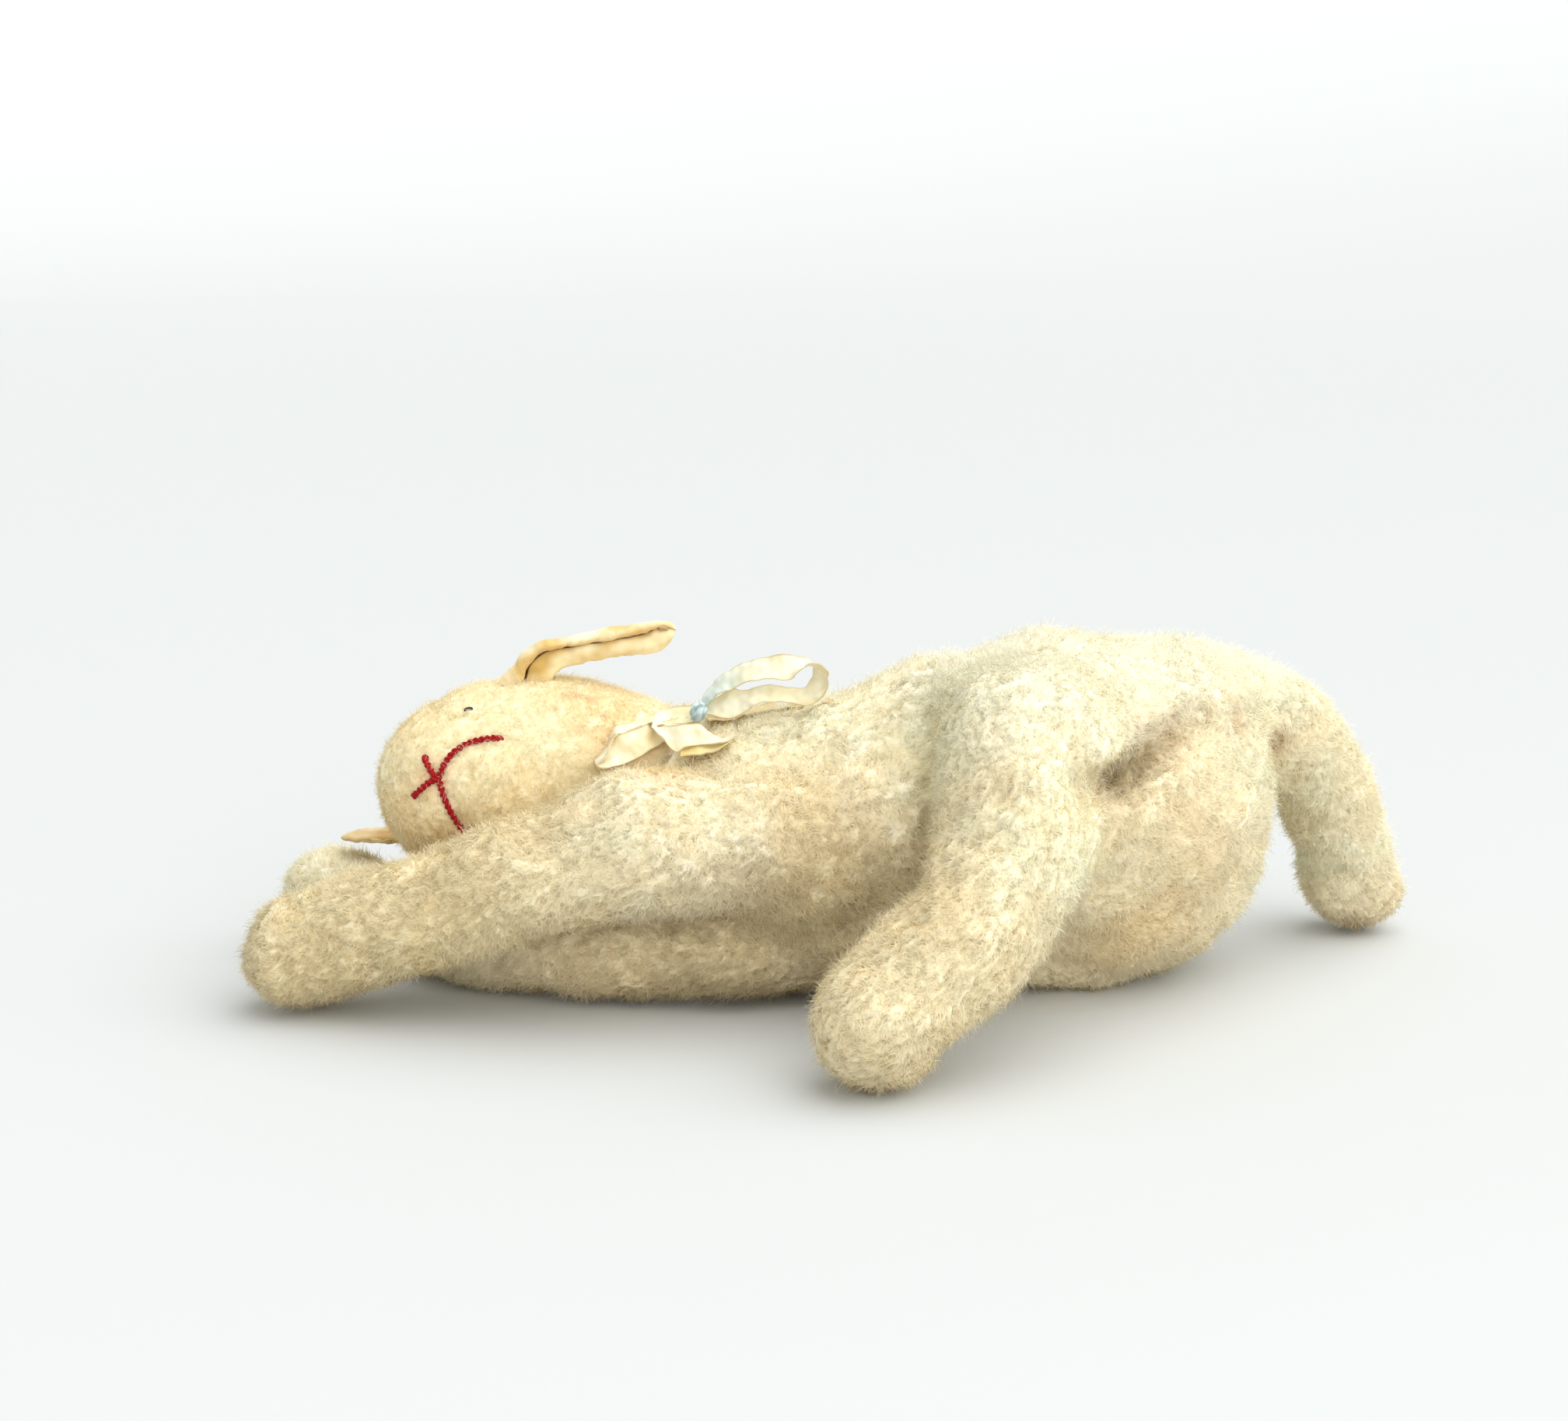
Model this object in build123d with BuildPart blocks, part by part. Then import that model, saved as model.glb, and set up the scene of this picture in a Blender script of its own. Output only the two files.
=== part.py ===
from build123d import *
import math
import os

os.makedirs("parts", exist_ok=True)

# A floppy plush rabbit lying on its side, millimetres.
# The floor is z = 0, x runs from the front paws to the hind feet.
# Every path is a list of stations (x, y, z, radius).

SHIFT_X, SHIFT_Y = 22.85, 6.55   # brings the middle of the footprint to the origin
COVER = 3.5                     # pile fabric with its pile
STUFF_GAP = 0.3                 # cover to stuffing
SEAM_GAP = 0.1                  # between two panels
RUN = 1.2                       # round every limb root in its pocket

LEFT_ARM = [(-34, -10, 58, 24), (-60, -14, 56.5, 23.8), (-86, -13, 50, 22.8),
            (-111, -10, 41.5, 22), (-139, -6, 32, 21.3), (-172, 1, 21.6, 20.8)]
RIGHT_ARM = [(-13, 12.5, 18.6, 17.2), (-33, 12.3, 17.6, 16.4), (-54, 12.9, 17.0, 15.8), (-74, 14.9, 16.8, 15.6),
             (-95, 20, 16.8, 15.6), (-119, 34.3, 17.2, 16.0), (-145, 57, 18.0, 16.9), (-174, 82, 18.9, 17.9)]
LEFT_LEG = [(79, -2, 99, 31.5), (79, -22, 88.5, 30), (77, -43, 72.5, 27.3),
            (64, -59, 51.5, 25), (48, -72, 35.5, 23.2), (30.5, -82, 22.6, 21.8)]
RIGHT_LEG = [(151, 53, 96, 25), (175, 66, 90.5, 21.8), (194, 76, 77, 20),
             (207, 85.5, 59, 19.2), (215.5, 93.5, 39.5, 18.5), (220.5, 99, 20, 18)]
TORSO = [(-46, 42, 77, 23), (-38, 41.5, 76.3, 23.5), (-31, 40, 75, 26),
         (-22, 37, 68, 32), (-10, 34, 60, 41), (8, 33, 51, 49.8),
         (35, 36, 51.2, 52.5), (69, 42, 57, 58.5), (102, 46, 59.8, 61.3),
         (124, 47, 59.5, 57), (140, 47.5, 58.5, 48), (151, 48, 58, 37),
         (158, 48, 57.5, 25), (162, 48, 57, 12)]
HEAD = [(-150.3, 47, 74, 4), (-148, 47, 74, 12), (-142, 47, 74, 20.5),
        (-132, 47, 74, 28.3), (-118, 47, 74, 34), (-99, 47, 74, 36.3),
        (-80, 47, 74, 35.7), (-68, 47, 74, 33), (-60, 47, 74, 30),
        (-54, 47, 74, 25.5), (-50.5, 47, 74, 18)]
NECK = TORSO[0]

LEFT_EAR_ROOT = (-99, 46, 113.6)
RIGHT_EAR_ROOT = (-114, 83, 46.6)
EAR_LAYER = 1.8
EAR_HINGE_R = 2.4

RIBBON_WIDTH = 9.5
RIBBON_THICK = 0.6
COLLAR_R = 27.6
COLLAR_WIDTH = 6.0
YARN_R = 1.1


def at(x, y, z):
    return Vector(x - SHIFT_X, y - SHIFT_Y, z)


def bend(path):
    # a point on a bent limb's centre line and the normal of the plane it bends in
    a, b, c = at(*path[0][:3]), at(*path[len(path) // 2][:3]), at(*path[-1][:3])
    return a, (b - a).cross(c - a).normalized()


def rings(path, inset=0.0, start_dome=False, end_dome=False, ref=Vector(0, 0.35, 1)):
    # section planes and radii along a path, with a rounded end where asked
    pts = [at(*p[:3]) for p in path]
    rad = [p[3] - inset for p in path]
    out = []
    n = len(pts)
    for i in range(n):
        a = pts[max(i - 1, 0)]
        b = pts[min(i + 1, n - 1)]
        t = (b - a).normalized()
        side = t.cross(ref).normalized()
        out.append((pts[i], t, side, rad[i]))
    if start_dome:
        p, t, side, r = out[0]
        out = [(p - t * (r * math.sin(math.radians(f))), t, side,
                r * math.cos(math.radians(f))) for f in (82, 66, 46, 23)] + out
    if end_dome:
        p, t, side, r = out[-1]
        out = out + [(p + t * (r * math.sin(math.radians(f))), t, side,
                      r * math.cos(math.radians(f))) for f in (23, 46, 66, 82)]
    return [(Plane(origin=p, x_dir=side, z_dir=t), r) for p, t, side, r in out]


LEG_BEND_L = bend(LEFT_LEG)
LEG_BEND_R = bend(RIGHT_LEG)


# ---------------------------------------------------------------- limb room
with BuildPart() as left_arm_room:
    for plane, r in rings(LEFT_ARM[:3], inset=-RUN, start_dome=True):
        with BuildSketch(plane):
            Circle(r)
    loft()

# the right arm's room widens away from its root, as far as the arm swings
SWING = math.radians(15)
RIGHT_ARM_SWEEP = [(x, y + 0.5 * (RIGHT_ARM[0][0] - x) * math.sin(SWING), z,
                    r + 0.5 * (RIGHT_ARM[0][0] - x) * math.sin(SWING)) for x, y, z, r in RIGHT_ARM[:4]]

with BuildPart() as right_arm_room:
    for plane, r in rings(RIGHT_ARM_SWEEP, inset=-RUN, start_dome=True):
        with BuildSketch(plane):
            Circle(r)
    loft()

with BuildPart() as left_leg_room:
    for plane, r in rings(LEFT_LEG[:4], inset=-RUN, start_dome=True, ref=LEG_BEND_L[1]):
        with BuildSketch(plane):
            Circle(r)
    loft()

with BuildPart() as right_leg_room:
    for plane, r in rings(RIGHT_LEG[:2], inset=-RUN, start_dome=True, ref=LEG_BEND_R[1]):
        with BuildSketch(plane):
            Circle(r)
    loft()

# ---------------------------------------------------------------- torso
with BuildPart() as torso_body:
    for plane, r in rings(TORSO, start_dome=True):
        with BuildSketch(plane):
            Circle(r)
    loft()
    with Locations(at(50, 40, -10)):
        Box(300, 200, 20, mode=Mode.SUBTRACT)
    add(left_arm_room.part, mode=Mode.SUBTRACT)
    add(right_arm_room.part, mode=Mode.SUBTRACT)
    add(left_leg_room.part, mode=Mode.SUBTRACT)
    add(right_leg_room.part, mode=Mode.SUBTRACT)

TORSO_IN = [(-40, 41.6, 76.5, 18 + COVER)] + [p for p in TORSO[2:11]] + [(153.5, 48, 58, 22 + COVER)]

with BuildPart() as torso_hollow:
    for plane, r in rings(TORSO_IN, inset=COVER):
        with BuildSketch(plane):
            Circle(r)
    loft()
    with Locations(at(50, 40, -6.5)):
        Box(300, 200, 20, mode=Mode.SUBTRACT)

with BuildPart() as torso_cover:
    add(torso_body.part)
    add(torso_hollow.part, mode=Mode.SUBTRACT)

with BuildPart() as torso_stuffing:
    for plane, r in rings(TORSO_IN, inset=COVER + 4 * STUFF_GAP):
        with BuildSketch(plane):
            Circle(r)
    loft()
    split(bisect_by=Plane(origin=at(-38.6, 41.5, 76.4), z_dir=(1, -0.05, -0.1)), keep=Keep.TOP)
    split(bisect_by=Plane(origin=at(152.4, 48, 58), z_dir=(1, 0, 0)), keep=Keep.BOTTOM)
    with Locations(at(50, 40, -6.1)):
        Box(300, 200, 20, mode=Mode.SUBTRACT)
    add(left_arm_room.part, mode=Mode.SUBTRACT)
    add(right_arm_room.part, mode=Mode.SUBTRACT)
    add(left_leg_room.part, mode=Mode.SUBTRACT)
    add(right_leg_room.part, mode=Mode.SUBTRACT)

SIDE_SEAM = Plane(origin=at(40, 38, 55), z_dir=(0.02, 0.5, 0.866))

with BuildPart() as torso_back_panel:
    add(torso_cover.part)
    split(bisect_by=SIDE_SEAM.offset(SEAM_GAP / 2), keep=Keep.TOP)

with BuildPart() as torso_belly_panel:
    add(torso_cover.part)
    split(bisect_by=SIDE_SEAM.offset(-SEAM_GAP / 2), keep=Keep.BOTTOM)

# ---------------------------------------------------------------- head
with BuildPart() as neck_room:
    with Locations(at(*NECK[:3])):
        Sphere(NECK[3] + RUN)

with BuildPart() as head_body:
    for plane, r in rings(HEAD):
        with BuildSketch(plane):
            Circle(r)
    loft()
    add(neck_room.part, mode=Mode.SUBTRACT)

HEAD_IN = [(-146.5, 47, 74, 5 + COVER), (-142.5, 47, 74, 15 + COVER)] + HEAD[3:9] + [(-54.5, 47, 74, 18 + COVER)]

with BuildPart() as head_hollow:
    for plane, r in rings(HEAD_IN, inset=COVER):
        with BuildSketch(plane):
            Circle(r)
    loft()

with BuildPart() as head_cover:
    add(head_body.part)
    add(head_hollow.part, mode=Mode.SUBTRACT)

with BuildPart() as head_stuffing:
    for plane, r in rings([(-146, 47, 74, 4.5 + COVER), (-142, 47, 74, 14.7 + COVER)] + HEAD[3:9]
                          + [(-55, 47, 74, 17.5 + COVER)], inset=COVER + STUFF_GAP):
        with BuildSketch(plane):
            Circle(r)
    loft()
    add(neck_room.part, mode=Mode.SUBTRACT)

FACE_SEAM = Plane(origin=at(-99, 47, 75.5), z_dir=(0.0, -0.05, 1))

with BuildPart() as head_left_panel:
    add(head_cover.part)
    split(bisect_by=FACE_SEAM.offset(SEAM_GAP / 2), keep=Keep.TOP)

with BuildPart() as head_right_panel:
    add(head_cover.part)
    split(bisect_by=FACE_SEAM.offset(-SEAM_GAP / 2), keep=Keep.BOTTOM)

# ---------------------------------------------------------------- left arm
with BuildPart() as left_arm_cover:
    for plane, r in rings(LEFT_ARM, start_dome=True, end_dome=True):
        with BuildSketch(plane):
            Circle(r)
    loft()

with BuildPart() as left_arm_hollow:
    for plane, r in rings(LEFT_ARM, inset=COVER, start_dome=True, end_dome=True):
        with BuildSketch(plane):
            Circle(r)
    loft()

ARM_SEAM_L = Plane(origin=at(*LEFT_ARM[2][:3]), x_dir=(at(*LEFT_ARM[5][:3]) - at(*LEFT_ARM[0][:3])).normalized(),
                   z_dir=Vector(0.28, 0.25, 0.93) - (at(*LEFT_ARM[5][:3]) - at(*LEFT_ARM[0][:3])).normalized()
                   * Vector(0.28, 0.25, 0.93).dot((at(*LEFT_ARM[5][:3]) - at(*LEFT_ARM[0][:3])).normalized()))

with BuildPart() as left_arm_upper_panel:
    add(left_arm_cover.part)
    split(bisect_by=ARM_SEAM_L.offset(SEAM_GAP / 2), keep=Keep.TOP)
    add(left_arm_hollow.part, mode=Mode.SUBTRACT)

with BuildPart() as left_arm_lower_panel:
    add(left_arm_cover.part)
    split(bisect_by=ARM_SEAM_L.offset(-SEAM_GAP / 2), keep=Keep.BOTTOM)
    add(left_arm_hollow.part, mode=Mode.SUBTRACT)

with BuildPart() as left_arm_stuffing:
    for plane, r in rings(LEFT_ARM, inset=COVER + STUFF_GAP, start_dome=True, end_dome=True):
        with BuildSketch(plane):
            Circle(r)
    loft()

# ---------------------------------------------------------------- right arm
with BuildPart() as right_arm_cover:
    for plane, r in rings(RIGHT_ARM, start_dome=True, end_dome=True):
        with BuildSketch(plane):
            Circle(r)
    loft()

with BuildPart() as right_arm_hollow:
    for plane, r in rings(RIGHT_ARM, inset=COVER, start_dome=True, end_dome=True):
        with BuildSketch(plane):
            Circle(r)
    loft()

ARM_SEAM_R = Plane(origin=at(-89, 18, 17.3), z_dir=(0, 0, 1))

with BuildPart() as right_arm_upper_panel:
    add(right_arm_cover.part)
    split(bisect_by=ARM_SEAM_R.offset(SEAM_GAP / 2), keep=Keep.TOP)
    add(right_arm_hollow.part, mode=Mode.SUBTRACT)

with BuildPart() as right_arm_lower_panel:
    add(right_arm_cover.part)
    split(bisect_by=ARM_SEAM_R.offset(-SEAM_GAP / 2), keep=Keep.BOTTOM)
    add(right_arm_hollow.part, mode=Mode.SUBTRACT)

with BuildPart() as right_arm_stuffing:
    for plane, r in rings(RIGHT_ARM, inset=COVER + STUFF_GAP, start_dome=True, end_dome=True):
        with BuildSketch(plane):
            Circle(r)
    loft()

# ---------------------------------------------------------------- left leg
with BuildPart() as left_leg_cover:
    for plane, r in rings(LEFT_LEG, start_dome=True, end_dome=True, ref=LEG_BEND_L[1]):
        with BuildSketch(plane):
            Circle(r)
    loft()

with BuildPart() as left_leg_hollow:
    for plane, r in rings(LEFT_LEG, inset=COVER, start_dome=True, end_dome=True, ref=LEG_BEND_L[1]):
        with BuildSketch(plane):
            Circle(r)
    loft()

LEG_SEAM_L = Plane(origin=LEG_BEND_L[0], z_dir=LEG_BEND_L[1])

with BuildPart() as left_leg_outer_panel:
    add(left_leg_cover.part)
    split(bisect_by=LEG_SEAM_L.offset(SEAM_GAP / 2), keep=Keep.TOP)
    add(left_leg_hollow.part, mode=Mode.SUBTRACT)

with BuildPart() as left_leg_inner_panel:
    add(left_leg_cover.part)
    split(bisect_by=LEG_SEAM_L.offset(-SEAM_GAP / 2), keep=Keep.BOTTOM)
    add(left_leg_hollow.part, mode=Mode.SUBTRACT)

with BuildPart() as left_leg_stuffing:
    for plane, r in rings(LEFT_LEG, inset=COVER + STUFF_GAP, start_dome=True, end_dome=True, ref=LEG_BEND_L[1]):
        with BuildSketch(plane):
            Circle(r)
    loft()

# ---------------------------------------------------------------- right leg
with BuildPart() as right_leg_cover:
    for plane, r in rings(RIGHT_LEG, start_dome=True, end_dome=True, ref=LEG_BEND_R[1]):
        with BuildSketch(plane):
            Circle(r)
    loft()

with BuildPart() as right_leg_hollow:
    for plane, r in rings(RIGHT_LEG, inset=COVER, start_dome=True, end_dome=True, ref=LEG_BEND_R[1]):
        with BuildSketch(plane):
            Circle(r)
    loft()

LEG_SEAM_R = Plane(origin=LEG_BEND_R[0], z_dir=LEG_BEND_R[1])

with BuildPart() as right_leg_outer_panel:
    add(right_leg_cover.part)
    split(bisect_by=LEG_SEAM_R.offset(SEAM_GAP / 2), keep=Keep.TOP)
    add(right_leg_hollow.part, mode=Mode.SUBTRACT)

with BuildPart() as right_leg_inner_panel:
    add(right_leg_cover.part)
    split(bisect_by=LEG_SEAM_R.offset(-SEAM_GAP / 2), keep=Keep.BOTTOM)
    add(right_leg_hollow.part, mode=Mode.SUBTRACT)

with BuildPart() as right_leg_stuffing:
    for plane, r in rings(RIGHT_LEG, inset=COVER + STUFF_GAP, start_dome=True, end_dome=True, ref=LEG_BEND_R[1]):
        with BuildSketch(plane):
            Circle(r)
    loft()

# ---------------------------------------------------------------- ears
# a leaf outline cut through a bent band; the band's outer and inner halves are the two layers
LX, LY, LZ = LEFT_EAR_ROOT

with BuildPart() as left_ear_leaf:
    with BuildSketch(Plane(origin=at(LX, LY, 100))):
        with BuildLine():
            Spline((1, -7), (12, -10.5), (32, -13), (50, -11), (61.5, -3.5), (63, 0),
                   (61.5, 3.5), (50, 11), (32, 13), (12, 10.5), (1, 7))
            Line((1, 7), (1, -7))
        make_face()
    extrude(amount=50)

with BuildPart() as left_ear_back:
    with BuildSketch(Plane(origin=at(LX, LY + 20, LZ), x_dir=(1, 0, 0), z_dir=(0, -1, 0))):
        with BuildLine():
            Spline((1.5, 1.2), (6, 7), (14, 11.5), (30, 13), (46, 15.5), (64, 18.5))
            Line((64, 18.5), (64, 18.5 - EAR_LAYER))
            Spline((64, 18.5 - EAR_LAYER), (46, 15.5 - EAR_LAYER), (30, 13 - EAR_LAYER),
                   (14.4, 11.5 - EAR_LAYER), (7.2, 7 - EAR_LAYER), (1.5, 1.2 - EAR_LAYER))
            Line((1.5, 1.2 - EAR_LAYER), (1.5, 1.2))
        make_face()
    extrude(amount=40)
    add(left_ear_leaf.part, mode=Mode.INTERSECT)
    with BuildSketch(Plane(origin=at(LX, LY + 7, LZ), x_dir=(1, 0, 0), z_dir=(0, -1, 0))):
        Circle(EAR_HINGE_R)
    extrude(amount=14)

with BuildPart() as left_ear_lining:
    with BuildSketch(Plane(origin=at(LX, LY + 20, LZ), x_dir=(1, 0, 0), z_dir=(0, -1, 0))):
        with BuildLine():
            Spline((9.5, 7.5 - EAR_LAYER - 0.1), (15, 11.2 - EAR_LAYER - 0.3), (30, 12.8 - EAR_LAYER),
                   (46, 15.3 - EAR_LAYER), (64, 18.3 - EAR_LAYER))
            Line((64, 18.3 - EAR_LAYER), (64, 18.3 - 2 * EAR_LAYER))
            Spline((64, 18.3 - 2 * EAR_LAYER), (46, 15.3 - 2 * EAR_LAYER), (30, 12.8 - 2 * EAR_LAYER),
                   (15.6, 11.2 - 2 * EAR_LAYER - 0.3), (10.5, 7.5 - 2 * EAR_LAYER))
            Line((10.5, 7.5 - 2 * EAR_LAYER), (9.5, 7.5 - EAR_LAYER - 0.1))
        make_face()
    extrude(amount=40)
    add(left_ear_leaf.part, mode=Mode.INTERSECT)

RX, RY, RZ = RIGHT_EAR_ROOT

with BuildPart() as right_ear_leaf:
    with BuildSketch(Plane(origin=at(RX, RY, 20), x_dir=(-1, 0, 0), z_dir=(0, 0, 1))):
        with BuildLine():
            Spline((1, -6.5), (12, -9), (30, -12), (44, -9), (53, -2.5), (54, 0),
                   (53, 2.5), (44, 9), (30, 12), (12, 9), (1, 6.5))
            Line((1, 6.5), (1, -6.5))
        make_face()
    extrude(amount=60)

with BuildPart() as right_ear_back:
    with BuildSketch(Plane(origin=at(RX, RY - 20, RZ), x_dir=(-1, 0, 0), z_dir=(0, 1, 0))):
        with BuildLine():
            Spline((1.5, 1.0), (12, -0.4), (30, -1.8), (56, -2.6))
            Line((56, -2.6), (56, -2.6 - EAR_LAYER))
            Spline((56, -2.6 - EAR_LAYER), (30, -1.8 - EAR_LAYER), (12, -0.4 - EAR_LAYER), (1.5, 1.0 - EAR_LAYER))
            Line((1.5, 1.0 - EAR_LAYER), (1.5, 1.0))
        make_face()
    extrude(amount=40)
    add(right_ear_leaf.part, mode=Mode.INTERSECT)
    with BuildSketch(Plane(origin=at(RX, RY - 6.5, RZ), x_dir=(-1, 0, 0), z_dir=(0, 1, 0))):
        Circle(EAR_HINGE_R)
    extrude(amount=13)

with BuildPart() as right_ear_lining:
    with BuildSketch(Plane(origin=at(RX, RY - 20, RZ), x_dir=(-1, 0, 0), z_dir=(0, 1, 0))):
        with BuildLine():
            Spline((6, 0.5 - EAR_LAYER - 0.35), (12, -0.7 - EAR_LAYER), (30, -2.1 - EAR_LAYER), (56, -2.8 - EAR_LAYER))
            Line((56, -2.8 - EAR_LAYER), (56, -2.8 - 2 * EAR_LAYER))
            Spline((56, -2.8 - 2 * EAR_LAYER), (30, -2.0 - 2 * EAR_LAYER), (12, -0.6 - 2 * EAR_LAYER),
                   (6, 0.6 - 2 * EAR_LAYER - 0.25))
            Line((6, 0.6 - 2 * EAR_LAYER - 0.25), (6, 0.5 - EAR_LAYER - 0.35))
        make_face()
    extrude(amount=40)
    add(right_ear_leaf.part, mode=Mode.INTERSECT)

# ---------------------------------------------------------------- ribbon
with BuildPart() as ribbon_collar:
    with BuildSketch(Plane(origin=at(-35.6, 41.2, 75.8), x_dir=(0, 1, 0.5), z_dir=(0.86, -0.24, -0.45))):
        Circle(COLLAR_R + RIBBON_THICK)
        Circle(COLLAR_R, mode=Mode.SUBTRACT)
    extrude(amount=COLLAR_WIDTH / 2, both=True)

BOW = Plane(origin=at(0, 26 + RIBBON_WIDTH / 2, 0), x_dir=(1, 0, 0), z_dir=(0, -1, 0))
BX = -SHIFT_X

with BuildPart() as bow_knot:
    with BuildSketch(Plane(origin=at(-31, 26 + 3.6, 105.6), x_dir=(1, 0, 0), z_dir=(0, -1, 0))):
        RectangleRounded(6.4, 6.6, 2.2)
    extrude(amount=7.2)

with BuildPart() as bow_loop_upper:
    with BuildSketch(Plane(origin=at(0, 26 + RIBBON_WIDTH / 2, 0), x_dir=(1, 0, 0), z_dir=(0, -1, 0))):
        with BuildLine():
            Spline((-27.2, 107.2), (-24, 115), (-12, 121.5), (4, 124), (15, 120.5), (17.5, 114),
                   (10, 109.5), (-6, 107.6), (-20, 105.6), (-27.2, 107.2), periodic=False)
        make_face()
        with BuildLine():
            Spline((-26.4, 107.3), (-23.4, 114.4), (-11.8, 120.8), (3.9, 123.3), (14.5, 120.0), (16.8, 114.2),
                   (9.8, 110.2), (-6, 108.3), (-20, 106.3), (-26.4, 107.3), periodic=False)
        make_face(mode=Mode.SUBTRACT)
    extrude(amount=RIBBON_WIDTH)

with BuildPart() as bow_loop_lower:
    with BuildSketch(Plane(origin=at(0, 4 + RIBBON_WIDTH, 0), x_dir=(1, 0, 0), z_dir=(0, -1, 0))):
        with BuildLine():
            Spline((-36.5, 101.5), (-44, 103.5), (-55, 101), (-64, 96.5), (-66, 91.5), (-58, 91),
                   (-46, 95.5), (-36.5, 101.5), periodic=False)
        make_face()
        with BuildLine():
            Spline((-37.4, 101.4), (-44, 102.8), (-54.8, 100.3), (-63.4, 96.0), (-65, 92.2), (-58.2, 91.7),
                   (-46.4, 96.1), (-37.4, 101.4), periodic=False)
        make_face(mode=Mode.SUBTRACT)
    extrude(amount=RIBBON_WIDTH)

with BuildPart() as bow_tail_long:
    with BuildSketch(Plane(origin=at(0, 26 + RIBBON_WIDTH / 2, 0), x_dir=(1, 0, 0), z_dir=(0, -1, 0))):
        with BuildLine():
            Spline((-26.5, 102.6), (-14, 104.4), (2, 104.6), (17, 104.0))
            Line((17, 104.0), (17, 104.0 - RIBBON_THICK))
            Spline((17, 104.0 - RIBBON_THICK), (2, 104.6 - RIBBON_THICK), (-14, 104.4 - RIBBON_THICK),
                   (-26.5, 102.6 - RIBBON_THICK))
            Line((-26.5, 102.6 - RIBBON_THICK), (-26.5, 102.6))
        make_face()
    extrude(amount=RIBBON_WIDTH)

with BuildPart() as bow_tail_short:
    with BuildSketch(Plane(origin=at(0, 14.5, 0), x_dir=(1, 0, 0), z_dir=(0, -1, 0))):
        with BuildLine():
            Polyline((-33, 104.0), (-24, 99.5), (-20, 97.8), (-20.25, 97.2), (-24.25, 98.9), (-33.25, 103.4), close=True)
        make_face()
    extrude(amount=RIBBON_WIDTH)

# ---------------------------------------------------------------- face
def head_radius(x):
    xs = [p[0] for p in HEAD]
    for i in range(len(xs) - 1):
        if xs[i] <= x <= xs[i + 1]:
            k = (x - xs[i]) / (xs[i + 1] - xs[i])
            k = math.sin(k * math.pi / 2) if i == 0 else k
            return HEAD[i][3] * (1 - k) + HEAD[i + 1][3] * k
    return HEAD[0][3]


def on_face(x, z, lift):
    # a point over the front of the head at this x and height
    r = head_radius(x) + lift
    dz = z - 74
    return at(x, 47 - math.sqrt(max(r * r - dz * dz, 1.0)), z)


FACE = YARN_R + 1.6

STITCHES = {
    "mouth_stitch_left": [(-121.5, 76.4), (-120, 82), (-115, 87.5), (-108, 90.5), (-100.5, 91)],
    "mouth_stitch_right": [(-121.5, 73.6), (-120, 68), (-116, 61.5), (-110, 57)],
    "nose_stitch_left": [(-123.5, 76.6), (-126.5, 82.8)],
    "nose_stitch_right": [(-123.5, 73.4), (-130.0, 68.6)],
}

with BuildPart() as mouth_stitch_left:
    with BuildLine() as ml:
        Spline(*[on_face(x, z, FACE) for x, z in STITCHES["mouth_stitch_left"]])
    with BuildSketch(Plane(origin=ml.line @ 0, z_dir=ml.line % 0)):
        Circle(YARN_R)
    sweep(path=ml.line)

with BuildPart() as mouth_stitch_right:
    with BuildLine() as mr:
        Spline(*[on_face(x, z, FACE) for x, z in STITCHES["mouth_stitch_right"]])
    with BuildSketch(Plane(origin=mr.line @ 0, z_dir=mr.line % 0)):
        Circle(YARN_R)
    sweep(path=mr.line)

with BuildPart() as nose_stitch_left:
    with BuildLine() as nl:
        Line(*[on_face(x, z, FACE + 0.4) for x, z in STITCHES["nose_stitch_left"]])
    with BuildSketch(Plane(origin=nl.line @ 0, z_dir=nl.line % 0)):
        Circle(YARN_R)
    sweep(path=nl.line)

with BuildPart() as nose_stitch_right:
    with BuildLine() as nr:
        Line(*[on_face(x, z, FACE + 0.4) for x, z in STITCHES["nose_stitch_right"]])
    with BuildSketch(Plane(origin=nr.line @ 0, z_dir=nr.line % 0)):
        Circle(YARN_R)
    sweep(path=nr.line)

with BuildPart() as eye_stitch_left:
    with BuildLine() as el:
        Line(on_face(-113.0, 101.5, 1.2), on_face(-110.5, 101.8, 1.2))
    with BuildSketch(Plane(origin=el.line @ 0, z_dir=el.line % 0)):
        Circle(0.5)
    sweep(path=el.line)

with BuildPart() as eye_stitch_right:
    with BuildLine() as er:
        Line(on_face(-127.5, 54.6, 1.2), on_face(-126.0, 53.8, 1.2))
    with BuildSketch(Plane(origin=er.line @ 0, z_dir=er.line % 0)):
        Circle(0.5)
    sweep(path=er.line)

# ---------------------------------------------------------------- labels and files
torso_back_panel.part.label = "torso_back_panel"
export_step(torso_back_panel.part, "parts/torso_back_panel.step")
torso_belly_panel.part.label = "torso_belly_panel"
export_step(torso_belly_panel.part, "parts/torso_belly_panel.step")
torso_stuffing.part.label = "torso_stuffing"
export_step(torso_stuffing.part, "parts/torso_stuffing.step")
head_left_panel.part.label = "head_left_panel"
export_step(head_left_panel.part, "parts/head_left_panel.step")
head_right_panel.part.label = "head_right_panel"
export_step(head_right_panel.part, "parts/head_right_panel.step")
head_stuffing.part.label = "head_stuffing"
export_step(head_stuffing.part, "parts/head_stuffing.step")
left_arm_upper_panel.part.label = "left_arm_upper_panel"
export_step(left_arm_upper_panel.part, "parts/left_arm_upper_panel.step")
left_arm_lower_panel.part.label = "left_arm_lower_panel"
export_step(left_arm_lower_panel.part, "parts/left_arm_lower_panel.step")
left_arm_stuffing.part.label = "left_arm_stuffing"
export_step(left_arm_stuffing.part, "parts/left_arm_stuffing.step")
right_arm_upper_panel.part.label = "right_arm_upper_panel"
export_step(right_arm_upper_panel.part, "parts/right_arm_upper_panel.step")
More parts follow.
